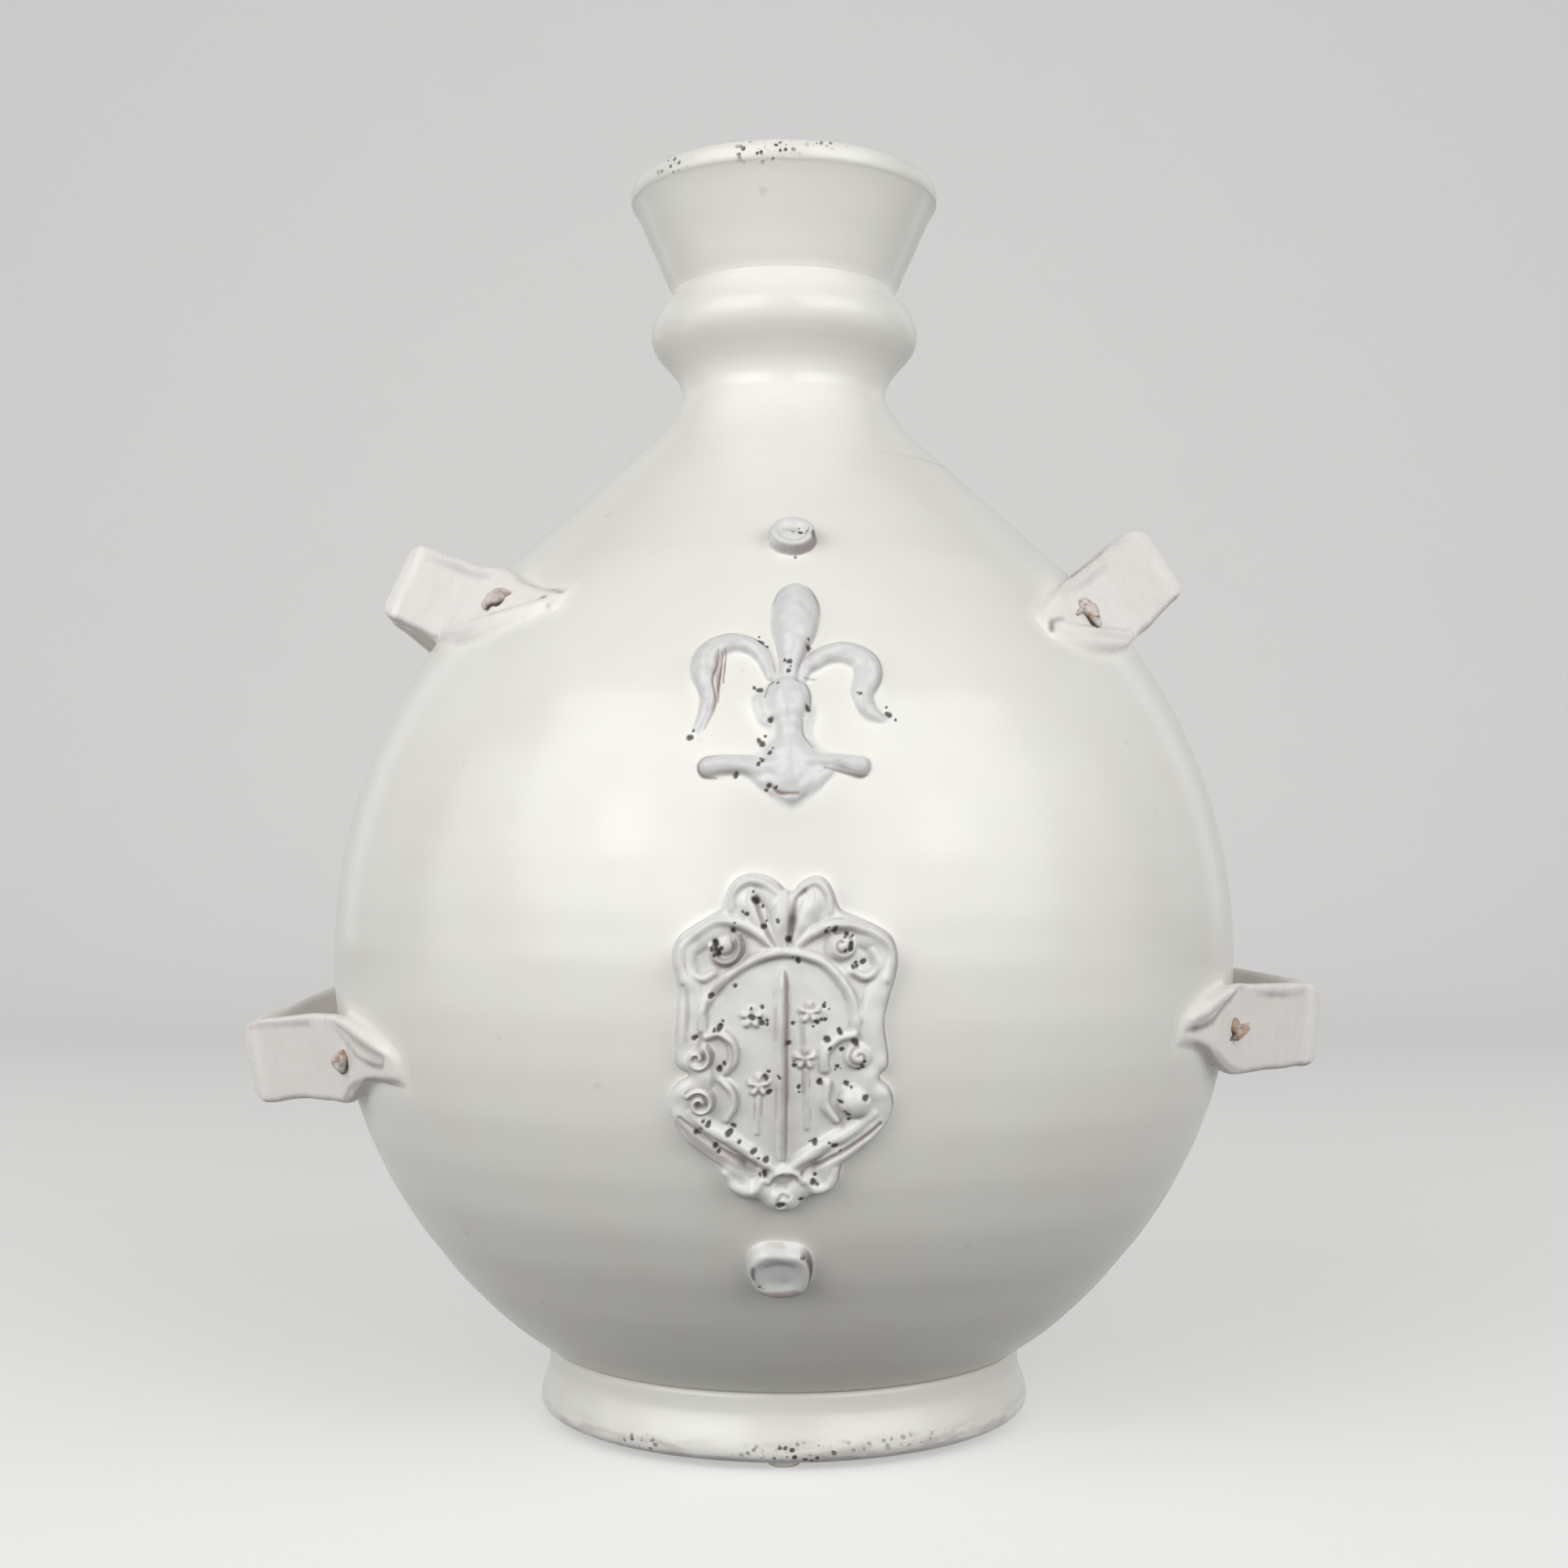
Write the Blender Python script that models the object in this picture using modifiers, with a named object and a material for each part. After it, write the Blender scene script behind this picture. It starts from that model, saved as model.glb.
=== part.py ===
"""Ceramic vase: a thrown globe on a foot ring, a beaded neck, a flared mouth, strap loops and applied relief.

Written for Blender 4.5, in metres with +Z up. The vase stands on the ground at the origin, its front to -Y.
"""
import math

import bmesh
import bpy
from mathutils import Matrix, Vector

# Clearance between pieces that touch
SEAT_GAP = 0.0003

# Pads under the foot
PAD_RADIUS = 0.0048
PAD_HEIGHT = 0.0020
PAD_AZIMUTHS = {"pad_front": 0.0, "pad_back_right": 120.0, "pad_back_left": -120.0}

# Foot ring: its bulge and crease are measured from the seam with the globe
FOOT_HEIGHT = 0.0202
FOOT_BULGE = 0.0052
FOOT_BULGE_HEIGHT = 0.0062
FOOT_CREASE_INSET = 0.0007
FOOT_CREASE_DROP = 0.0035
FOOT_SEAT_WIDTH = 0.0110
FOOT_STAND_WIDTH = 0.0115
FOOT_CURVE = dict(crease=0.30, above_bulge=0.50, below_bulge=0.60, stand=0.40)

# Globe
BODY_RADIUS = 0.1437
BODY_LOWER_DEPTH = 0.1444
BODY_UPPER_RISE = 0.1570
BODY_SEAM_RADIUS = 0.0725
BODY_WALL = 0.0070
BODY_FLOOR = 0.0090
SHOULDER_LATITUDE = 49.7

# Neck
NECK_SEAM_RADIUS = 0.0560
NECK_RADIUS = 0.0335
NECK_WALL = 0.0060
NECK_FLARE_HEIGHT = 0.0292
BEAD_RADIUS = 0.0439
BEAD_DROP = 0.0200
BEAD_RISE = 0.0108
NOTCH_RADIUS = 0.0364
NECK_CURVE = dict(notch=0.34, above_bead=0.40, below_bead=0.50, above_waist=0.38, below_waist=0.31, foot=0.41)

# Mouth
MOUTH_RADIUS = 0.0504
MOUTH_HEIGHT = 0.0372
MOUTH_WALL = 0.0058
LIP_HEIGHT = 0.0060
LIP_WIDTH = 0.0068
LIP_CURVE = dict(crown=0.60, outer=0.40, side=0.50, inner_drop=0.40, inner=0.30, top=0.20)

# Strap loops: a tip is given by its latitude and its angle from the vase's side, a peg by a share of the leg
STRAP_WIDTH = 0.0270
STRAP_THICKNESS = 0.0046
STRAP_EDGE = 0.0012
STRAP_EDGE_LIMIT = 0.45
STRAP_TIP_WIDTH = 0.0070
STRAP_TIP_THICKNESS = 0.0024
STRAP_TAPER_SHARE = 0.38
STRAP_LIFT_SHARE = 0.20
STRAP_FOLD_LENGTH = 0.0125
LOOPS = {
    "upper_left": dict(side=-1, fold_latitude=49.5, reach=0.0323, tilt=25.0, sag=0.0050,
                       front_tip=(41.0, 54.1), back_tip=(35.6, 52.0), peg=0.26),
    "upper_right": dict(side=1, fold_latitude=53.8, reach=0.0382, tilt=33.0, sag=0.0040,
                        front_tip=(37.3, 49.0), back_tip=(39.8, 50.0), peg=0.25),
    "lower_left": dict(side=-1, fold_latitude=-14.4, reach=0.0327, tilt=-11.0, sag=-0.0030,
                       front_tip=(-12.6, 39.8), back_tip=(-6.4, 40.0), peg=0.34),
    "lower_right": dict(side=1, fold_latitude=-9.8, reach=0.0303, tilt=-4.5, sag=0.0,
                        front_tip=(-8.2, 37.8), back_tip=(-5.6, 38.0), peg=0.38),
}

# Pegs on the straps
PEG_RADIUS = 0.0036
PEG_TOP_RADIUS = 0.0014
PEG_HEIGHT = 0.0042

# Crest: half its width, its length down the wall and how far its top lies above the belly
CREST_HALF_WIDTH = 0.0294
CREST_LENGTH = 0.0860
CREST_TOP = 0.0218
CREST_HEIGHT = 0.0048
CREST_FIELD_HEIGHT = 0.0028
CREST_STAFF_RADIUS = 0.0039
CREST_STAFF_LENGTH = 0.0470
CREST_VOLUTE_RADIUS = 0.0046
CREST_VOLUTE_HEIGHT = 0.0060
CREST_KNOB_RADIUS = 0.0048

# Right half of the crest's edge and of its sunk field, and its volutes: shares of half width and of length
CREST_EDGE = ((0.04, 0.044), (0.20, 0.000), (0.37, 0.012), (0.47, 0.072), (0.70, 0.133), (0.93, 0.170),
              (1.00, 0.228), (0.945, 0.323), (0.885, 0.409), (0.91, 0.502), (0.825, 0.588), (0.95, 0.635),
              (0.97, 0.691), (0.845, 0.767), (0.475, 0.874), (0.505, 0.921), (0.39, 0.962), (0.22, 0.953),
              (0.11, 1.000))
CREST_FIELD_EDGE = ((0.00, 0.214), (0.27, 0.244), (0.48, 0.321), (0.59, 0.421), (0.43, 0.463), (0.38, 0.533),
                    (0.435, 0.586), (0.395, 0.656), (0.49, 0.719), (0.27, 0.807), (0.00, 0.872))
CREST_VOLUTES = ((0.565, 0.198), (0.635, 0.516), (0.62, 0.647))

# Lily: a stem of knob, stalk and base with a cross bar, a middle petal and two side petals
LILY_ACROSS = 0.0008
LILY_CREST_GAP = 0.0190
STEM_LENGTH = 0.0352
STEM_HEIGHT = 0.0050
KNOB_RADIUS = 0.0066
KNOB_RISE = 0.0058
STALK_RADIUS = 0.0042
STEM_BASE_RADIUS = 0.0062
STEM_BASE_RISE = 0.0060
CROSS_BAR_DROP = 0.0238
CROSS_BAR_RADIUS = 0.0030
CROSS_BAR_REACH = 0.0205
PETAL_LENGTH = 0.0320
PETAL_RADIUS = 0.0066
PETAL_HEIGHT = 0.0046
PETAL_ROOT_DEPTH = 0.0016
SIDE_PETAL_SPAN = 0.0264
SIDE_PETAL_RISE = 0.0124
SIDE_PETAL_RADIUS = 0.0044

# Middle petal from its tip down to its root: shares of its radius and of its length
PETAL_EDGE = ((0.50, 0.965), (0.86, 0.86), (1.00, 0.71), (0.93, 0.52), (0.66, 0.32), (0.36, 0.14),
              (0.30, 0.00))

# Side petal from the knob over its arch to its flicked tip: shares of span, rise and radius
SIDE_PETAL_LINE = ((0.08, 0.20, 0.45), (0.33, 0.94, 0.80), (0.65, 0.94, 1.00), (0.86, 0.32, 0.97),
                   (0.81, -0.40, 0.62), (1.00, -1.10, 0.25))

# Studs: the top one above the lily's petal, the bottom one below the crest
BUTTON_RIM_SHARE = 0.82
BUTTON_DISH_SHARE = 0.72
BUTTON_TOP_ACROSS = 0.0024
BUTTON_TOP_GAP = 0.0138
BUTTON_TOP_RADIUS = 0.0067
BUTTON_TOP_HEIGHT = 0.0054
BUTTON_BOTTOM_ACROSS = -0.0010
BUTTON_BOTTOM_GAP = 0.0118
BUTTON_BOTTOM_RADIUS = 0.0086
BUTTON_BOTTOM_HEIGHT = 0.0052

# Facets
TURN_STEPS = 48
STUD_STEPS = 20
STEM_STEPS = 16
PEG_STEPS = 10
DOME_STEPS = 12
ARC_STEPS = 9
CURVE_STEPS = 6
KNOB_STEPS = 5
LEG_STEPS = 8
FOLD_STEPS = 4

# Merge distances of points that lie on each other, and the angle from which an edge stays sharp
WELD = 0.000001
TURN_WELD = 0.00001
SHARP_ANGLE = 40.0

# Finishes: sRGB colour, roughness and coat
FINISHES = {
    "ivory_glaze": ((228, 228, 219), 0.34, 0.3),
    "neck_glaze": ((229, 229, 221), 0.34, 0.3),
    "mouth_glaze": ((218, 218, 210), 0.34, 0.3),
    "foot_glaze": ((226, 222, 214), 0.36, 0.3),
    "strap_glaze": ((213, 207, 201), 0.40, 0.2),
    "peg_clay": ((188, 168, 146), 0.60, 0.0),
    "relief_glaze": ((205, 202, 198), 0.38, 0.2),
    "crest_glaze": ((186, 182, 176), 0.40, 0.2),
    "pad_gel": ((214, 216, 210), 0.25, 0.0),
}

# Heights and places that follow from the sizes above
FOOT_TOP = PAD_HEIGHT + FOOT_HEIGHT
FOOT_BORE_RADIUS = BODY_SEAM_RADIUS - FOOT_SEAT_WIDTH
BODY_BASE = FOOT_TOP + SEAT_GAP
BODY_FOOT_LATITUDE = -math.degrees(math.acos(BODY_SEAM_RADIUS / BODY_RADIUS))
BELLY = BODY_BASE - BODY_LOWER_DEPTH * math.sin(math.radians(BODY_FOOT_LATITUDE))
LILY_ALONG = CREST_TOP + LILY_CREST_GAP + STEM_LENGTH
BUTTON_TOP_ALONG = LILY_ALONG + PETAL_LENGTH + BUTTON_TOP_GAP + BUTTON_TOP_RADIUS
BUTTON_BOTTOM_ALONG = CREST_TOP - CREST_LENGTH - BUTTON_BOTTOM_GAP - BUTTON_BOTTOM_RADIUS


def srgb(red, green, blue):
    """Linear colour of an sRGB one given from 0 to 255."""
    linear = []
    for value in (red, green, blue):
        share = value / 255.0
        linear.append(share / 12.92 if share <= 0.04045 else ((share + 0.055) / 1.055) ** 2.4)
    return (*linear, 1.0)


def material(name, colour, roughness, coat):
    """Principled material of one piece."""
    made = bpy.data.materials.new(name)
    made.use_nodes = True
    shader = made.node_tree.nodes["Principled BSDF"]
    shader.inputs["Base Color"].default_value = srgb(*colour)
    shader.inputs["Roughness"].default_value = roughness
    shader.inputs["Metallic"].default_value = 0.0
    shader.inputs["Coat Weight"].default_value = coat
    return made


def arc(centre_height, radius, rise, start, end, steps):
    """Profile points on an ellipse about the axis, from one latitude to another."""
    points = []
    for step in range(steps + 1):
        latitude = math.radians(start + (end - start) * step / steps)
        points.append((radius * math.cos(latitude), centre_height + rise * math.sin(latitude)))
    return points


def bezier(first, first_handle, last_handle, last, steps):
    """Profile points on a cubic curve."""
    points = []
    for step in range(steps + 1):
        t = step / steps
        weights = ((1 - t) ** 3, 3 * t * (1 - t) ** 2, 3 * t * t * (1 - t), t ** 3)
        controls = (first, first_handle, last_handle, last)
        points.append(tuple(sum(w * c[axis] for w, c in zip(weights, controls)) for axis in (0, 1)))
    return points


def offset(points, distance):
    """Profile moved outwards by a distance, for points that run down the outer side."""
    moved = []
    last = len(points) - 1
    for index, (radius, height) in enumerate(points):
        before = points[max(index - 1, 0)]
        after = points[min(index + 1, last)]
        along = Vector((after[0] - before[0], after[1] - before[1])).normalized()
        moved.append((radius - along.y * distance, height + along.x * distance))
    return moved


def foot_outline():
    """Closed outline of the foot ring: bulging outer side, flat stand, straight bore."""
    crease_radius = BODY_SEAM_RADIUS - FOOT_CREASE_INSET
    crease = FOOT_TOP - FOOT_CREASE_DROP
    bulge_radius = BODY_SEAM_RADIUS + FOOT_BULGE
    bulge = PAD_HEIGHT + FOOT_BULGE_HEIGHT
    stand = FOOT_BORE_RADIUS + FOOT_STAND_WIDTH
    fall = crease - bulge
    shape = FOOT_CURVE
    upper = bezier((crease_radius, crease), (crease_radius, crease - shape["crease"] * fall),
                   (bulge_radius, bulge + shape["above_bulge"] * fall), (bulge_radius, bulge), CURVE_STEPS)
    lower = bezier((bulge_radius, bulge), (bulge_radius, bulge - shape["below_bulge"] * FOOT_BULGE_HEIGHT),
                   (stand + shape["stand"] * (bulge_radius - stand), PAD_HEIGHT), (stand, PAD_HEIGHT),
                   CURVE_STEPS - 2)
    return ([(BODY_SEAM_RADIUS, FOOT_TOP)] + upper + lower[1:]
            + [(FOOT_BORE_RADIUS, PAD_HEIGHT), (FOOT_BORE_RADIUS, FOOT_TOP)])


def shoulder_line():
    """Last point of the globe's arc and the point where the straight shoulder meets the neck."""
    latitude = math.radians(SHOULDER_LATITUDE)
    start = Vector((BODY_RADIUS * math.cos(latitude), BELLY + BODY_UPPER_RISE * math.sin(latitude)))
    along = Vector((-BODY_RADIUS * math.sin(latitude), BODY_UPPER_RISE * math.cos(latitude))).normalized()
    end = start + along * ((NECK_SEAM_RADIUS - start.x) / along.x)
    return start, along, end


def body_outer():
    """Outer side of the globe, from the neck seam down to the foot seam."""
    upper = arc(BELLY, BODY_RADIUS, BODY_UPPER_RISE, SHOULDER_LATITUDE, 0.0, ARC_STEPS)
    lower = arc(BELLY, BODY_RADIUS, BODY_LOWER_DEPTH, 0.0, BODY_FOOT_LATITUDE, ARC_STEPS)
    return [tuple(shoulder_line()[2])] + upper + lower[1:]


def body_outline():
    """Outline of the hollow globe, from its base on the axis round the rim to its floor on the axis."""
    outer = body_outer()
    upper = outer[:ARC_STEPS + 2]
    floor = BODY_BASE + BODY_FLOOR
    inner_depth = BODY_LOWER_DEPTH - BODY_WALL
    floor_latitude = -math.degrees(math.asin((BELLY - floor) / inner_depth))
    lower = arc(BELLY, BODY_RADIUS - BODY_WALL, inner_depth, floor_latitude, 0.0, ARC_STEPS - 2)
    inner = lower[:-1] + offset(upper, -BODY_WALL)[::-1]
    return [(0.0, floor)] + inner + outer + [(0.0, BODY_BASE)]


def neck_outer():
    """Outer side of the neck: bead, waist and flare, from the notch down to the shoulder."""
    along, seam = shoulder_line()[1:]
    foot = seam + along * SEAT_GAP
    waist = seam.y + NECK_FLARE_HEIGHT
    bead = waist + BEAD_DROP
    notch = bead + BEAD_RISE
    shape = NECK_CURVE
    top = bezier((NOTCH_RADIUS, notch),
                 (0.5 * (NOTCH_RADIUS + BEAD_RADIUS), notch - shape["notch"] * BEAD_RISE),
                 (BEAD_RADIUS, bead + shape["above_bead"] * BEAD_RISE), (BEAD_RADIUS, bead), CURVE_STEPS)
    middle = bezier((BEAD_RADIUS, bead), (BEAD_RADIUS, bead - shape["below_bead"] * BEAD_DROP),
                    (NECK_RADIUS, waist + shape["above_waist"] * BEAD_DROP), (NECK_RADIUS, waist),
                    CURVE_STEPS)
    flare = bezier((NECK_RADIUS, waist), (NECK_RADIUS, waist - shape["below_waist"] * NECK_FLARE_HEIGHT),
                   tuple(foot + along * shape["foot"] * NECK_FLARE_HEIGHT), tuple(foot), CURVE_STEPS)
    return top + middle[1:] + flare[1:]


def neck_outline():
    """Closed outline of the neck, with a bore that is straight inside the bead."""
    outer = neck_outer()
    flare = outer[-CURVE_STEPS - 1:]
    bore = offset(flare, -NECK_WALL)
    bore[0] = (NECK_RADIUS - NECK_WALL, flare[0][1])
    return outer + bore[::-1] + [(NOTCH_RADIUS - NECK_WALL, outer[0][1])]


def mouth_outline():
    """Closed outline of the flared mouth with its rolled lip."""
    base = neck_outer()[0][1] + SEAT_GAP
    top = base + MOUTH_HEIGHT
    shoulder = top - LIP_HEIGHT
    crown = MOUTH_RADIUS - LIP_CURVE["crown"] * LIP_WIDTH
    lip_bore = MOUTH_RADIUS - LIP_WIDTH
    lip_bore_top = top - LIP_CURVE["inner_drop"] * LIP_HEIGHT
    outer_lip = bezier((crown, top), (crown + LIP_CURVE["outer"] * LIP_WIDTH, top),
                       (MOUTH_RADIUS, shoulder + LIP_CURVE["side"] * LIP_HEIGHT), (MOUTH_RADIUS, shoulder),
                       CURVE_STEPS - 2)
    inner_lip = bezier((lip_bore, lip_bore_top), (lip_bore, lip_bore_top + LIP_CURVE["inner"] * LIP_HEIGHT),
                       (crown - LIP_CURVE["top"] * LIP_WIDTH, top), (crown, top), CURVE_STEPS - 3)
    sides = [(NOTCH_RADIUS, base), (NOTCH_RADIUS - MOUTH_WALL, base)]
    return outer_lip + sides + inner_lip[:-1]


def add_object(name, mesh, group, finish=None):
    """Object of one mesh in a collection."""
    made = bpy.data.objects.new(name, mesh)
    group.objects.link(made)
    if finish is not None:
        mesh.materials.append(finish)
    return made


def make_cutter(piece):
    """Marks an object as a cutter, drawn as wire and left out of renders."""
    piece.hide_render = True
    piece.display_type = "WIRE"
    return piece


def turned(name, outline, closed, steps, group, finish=None):
    """Profile turned about the Z axis with a Screw modifier."""
    mesh = bpy.data.meshes.new(name)
    points = [(radius, 0.0, height) for radius, height in outline]
    edges = [(index, index + 1) for index in range(len(points) - 1)]
    if closed:
        edges.append((len(points) - 1, 0))
    mesh.from_pydata(points, edges, [])
    piece = add_object(name, mesh, group, finish)
    screw = piece.modifiers.new("turn", "SCREW")
    screw.steps = steps
    screw.render_steps = steps
    screw.use_merge_vertices = True
    screw.merge_threshold = TURN_WELD
    screw.use_smooth_shade = True
    return piece


def curve_piece(name, data, matrix, group, finish=None):
    """Mesh object of a curve, placed by a matrix, with its loose caps welded."""
    curve = bpy.data.objects.new(name + "_curve", data)
    curve.matrix_world = matrix
    group.objects.link(curve)
    bpy.context.view_layer.update()
    evaluated = curve.evaluated_get(bpy.context.evaluated_depsgraph_get())
    mesh = bpy.data.meshes.new_from_object(evaluated)
    mesh.name = name
    mesh.materials.clear()
    welded = bmesh.new()
    welded.from_mesh(mesh)
    bmesh.ops.remove_doubles(welded, verts=welded.verts, dist=WELD)
    bmesh.ops.recalc_face_normals(welded, faces=welded.faces)
    welded.to_mesh(mesh)
    welded.free()
    shade_round(mesh)
    piece = add_object(name, mesh, group, finish)
    piece.matrix_world = curve.matrix_world
    bpy.data.objects.remove(curve)
    return piece


def shade_round(mesh):
    """Smooth shading with sharp edges kept."""
    mesh.shade_smooth()
    mesh.set_sharp_from_angle(angle=math.radians(SHARP_ANGLE))


def smooth_spline(data, count):
    """Bezier spline with automatic handles on a curve."""
    spline = data.splines.new("BEZIER")
    spline.bezier_points.add(count - 1)
    for control in spline.bezier_points:
        control.handle_left_type = "AUTO"
        control.handle_right_type = "AUTO"
    return spline


def boolean(piece, other, operation):
    """Exact Boolean modifier."""
    cut = piece.modifiers.new(operation.lower(), "BOOLEAN")
    cut.operation = operation
    cut.solver = "EXACT"
    cut.object = other


def wall_frame(latitude, azimuth):
    """Place on the globe's wall: point, unit vectors across, up the wall and out of it.

    Azimuth 0 is the front and 90 the right side.
    """
    rise = BODY_UPPER_RISE if latitude > 0.0 else BODY_LOWER_DEPTH
    angle = math.radians(latitude)
    turn = math.radians(azimuth)
    radial = Vector((math.sin(turn), -math.cos(turn), 0.0))
    across = Vector((math.cos(turn), math.sin(turn), 0.0))
    height = Vector((0.0, 0.0, 1.0))
    out = (radial * rise * math.cos(angle) + height * BODY_RADIUS * math.sin(angle)).normalized()
    up = (height * rise * math.cos(angle) - radial * BODY_RADIUS * math.sin(angle)).normalized()
    point = radial * BODY_RADIUS * math.cos(angle) + height * (BELLY + rise * math.sin(angle))
    return point, across, up, out


def front_frame(across, along):
    """Place on the front, given by the distances right of the middle and up the wall from the belly."""
    rise = BODY_UPPER_RISE if along > 0.0 else BODY_LOWER_DEPTH
    latitude = math.degrees(2.0 * along / (BODY_RADIUS + rise))
    azimuth = math.degrees(across / (BODY_RADIUS * math.cos(math.radians(latitude))))
    return wall_frame(latitude, azimuth)


def front_matrix(across, along):
    """World matrix of a place on the front: X across, Y up the wall, Z out of it."""
    point, side, up, out = front_frame(across, along)
    axes = Matrix((side, up, out)).transposed()
    return Matrix.Translation(point) @ axes.to_4x4()


def smooth_share(value):
    """Smooth step from 0 to 1."""
    held = min(max(value, 0.0), 1.0)
    return held * held * (3.0 - 2.0 * held)


def leg_path(loop, end, fold, fold_up):
    """One leg of a strap from its tip on the wall to its fold, as places, width directions and shares."""
    latitude, angle = loop[end + "_tip"]
    forward = angle if end == "front" else -angle
    tip, _, tip_up, _ = wall_frame(latitude, loop["side"] * (90.0 - forward))
    straight = 1.0 - STRAP_FOLD_LENGTH / (fold - tip).length
    points = []
    for step in range(LEG_STEPS + 1):
        share = step / LEG_STEPS
        place = tip.lerp(fold, straight * share)
        place.z -= loop["sag"] * 4.0 * share * (1.0 - share)
        lift = 0.5 * STRAP_THICKNESS * smooth_share(share / STRAP_LIFT_SHARE)
        points.append((hug(place, lift), tip_up.lerp(fold_up, share).normalized(), share))
    return points


def hug(place, lift):
    """Keeps a point outside the globe's wall by at least a lift."""
    height = place.z - BELLY
    rise = BODY_UPPER_RISE if height > 0.0 else BODY_LOWER_DEPTH
    wall = BODY_RADIUS * math.sqrt(max(1.0 - (height / rise) ** 2, 0.0)) + lift
    flat = Vector((place.x, place.y, 0.0))
    if flat.length >= wall:
        return place
    flat = flat.normalized() * wall
    return Vector((flat.x, flat.y, place.z))


def loop_path(loop):
    """Whole centre line of a strap, from the front tip round the fold to the back tip."""
    latitude = math.radians(loop["fold_latitude"])
    rise = BODY_UPPER_RISE if latitude > 0.0 else BODY_LOWER_DEPTH
    fold = Vector((loop["side"] * (BODY_RADIUS * math.cos(latitude) + loop["reach"]), 0.0,
                   BELLY + rise * math.sin(latitude)))
    tilt = math.radians(loop["tilt"])
    fold_up = Vector((-loop["side"] * math.sin(tilt), 0.0, math.cos(tilt)))
    front = leg_path(loop, "front", fold, fold_up)
    back = leg_path(loop, "back", fold, fold_up)
    start = front[-1][0]
    end = back[-1][0]
    corner = 2.0 * fold - 0.5 * (start + end)
    bend = []
    for step in range(1, FOLD_STEPS):
        t = step / FOLD_STEPS
        place = start * (1.0 - t) ** 2 + corner * 2.0 * t * (1.0 - t) + end * t * t
        bend.append((place, fold_up, 1.0))
    return front + bend + back[::-1]


def strap_mesh(name, loop, grow):
    """Loft of rounded rectangles along a loop's centre line."""
    path = loop_path(loop)
    shell = bmesh.new()
    rings = []
    for index, (place, width_way, share) in enumerate(path):
        before = path[max(index - 1, 0)][0]
        after = path[min(index + 1, len(path) - 1)][0]
        forward = (after - before).normalized()
        width_axis = (width_way - forward * width_way.dot(forward)).normalized()
        depth_axis = forward.cross(width_axis)
        taper = smooth_share(share / STRAP_TAPER_SHARE)
        half_width = grow + 0.5 * (STRAP_TIP_WIDTH + (STRAP_WIDTH - STRAP_TIP_WIDTH) * taper)
        half_depth = grow + 0.5 * (STRAP_TIP_THICKNESS + (STRAP_THICKNESS - STRAP_TIP_THICKNESS) * taper)
        edge = min(STRAP_EDGE, STRAP_EDGE_LIMIT * half_depth, STRAP_EDGE_LIMIT * half_width)
        corners = []
        for turn in ((1, 1), (-1, 1), (-1, -1), (1, -1)):
            near = (turn[0] * (half_width - edge), turn[1] * half_depth)
            far = (turn[0] * half_width, turn[1] * (half_depth - edge))
            corners += [far, near] if turn[0] * turn[1] > 0 else [near, far]
        rings.append([shell.verts.new(place + width_axis * w + depth_axis * d) for w, d in corners])
    for ring, following in zip(rings, rings[1:]):
        for index in range(len(ring)):
            after = (index + 1) % len(ring)
            shell.faces.new((ring[index], ring[after], following[after], following[index]))
    shell.faces.new(rings[0])
    shell.faces.new(rings[-1])
    bmesh.ops.recalc_face_normals(shell, faces=shell.faces)
    mesh = bpy.data.meshes.new(name)
    shell.to_mesh(mesh)
    shell.free()
    shade_round(mesh)
    return mesh


def make_loops(group, cutters, wall, finish, peg_finish):
    """Four strap loops, each cut to the wall it is luted to, with a peg on each leg."""
    for place, loop in LOOPS.items():
        strap = add_object("loop_" + place, strap_mesh("loop_" + place, loop, 0.0), group, finish)
        boolean(strap, wall, "DIFFERENCE")
        clearance_name = "clearance_" + place
        clearance = add_object(clearance_name, strap_mesh(clearance_name, loop, SEAT_GAP), cutters)
        make_cutter(clearance)
        path = loop_path(loop)
        make_peg("peg_" + place + "_front", path, loop["peg"], clearance, group, peg_finish)
        make_peg("peg_" + place + "_back", path[::-1], loop["peg"], clearance, group, peg_finish)


def make_peg(name, path, peg_share, clearance, group, finish):
    """Cone of clay pressed on the outer face of a strap."""
    for (start, width_way, share), (end, _, end_share) in zip(path, path[1:]):
        if share <= peg_share < end_share:
            place = start.lerp(end, (peg_share - share) / (end_share - share))
            forward = (end - start).normalized()
            break
    depth = PEG_HEIGHT + 0.5 * STRAP_THICKNESS
    out = forward.cross(width_way).normalized()
    if out.dot(Vector((place.x, place.y, 0.0))) < 0.0:
        out = -out
    cone = bmesh.new()
    bmesh.ops.create_cone(cone, cap_ends=True, segments=PEG_STEPS, radius1=PEG_RADIUS, radius2=PEG_TOP_RADIUS,
                          depth=depth)
    mesh = bpy.data.meshes.new(name)
    cone.to_mesh(mesh)
    cone.free()
    shade_round(mesh)
    piece = add_object(name, mesh, group, finish)
    piece.location = place + out * 0.5 * depth
    piece.rotation_euler = out.to_track_quat("Z", "Y").to_euler()
    boolean(piece, clearance, "DIFFERENCE")


def make_button(name, place, radius, height, wall, group, finish):
    """Dished stud turned about the wall's normal and cut to the wall."""
    rim = BUTTON_RIM_SHARE * radius
    dish = BUTTON_DISH_SHARE * height
    outline = [(0.0, dish), (0.5 * rim, dish), (rim, height), (radius, dish), (radius, -height),
               (0.0, -height)]
    piece = turned(name, outline, False, STUD_STEPS, group, finish)
    piece.matrix_world = front_matrix(*place)
    boolean(piece, wall, "DIFFERENCE")


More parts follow.
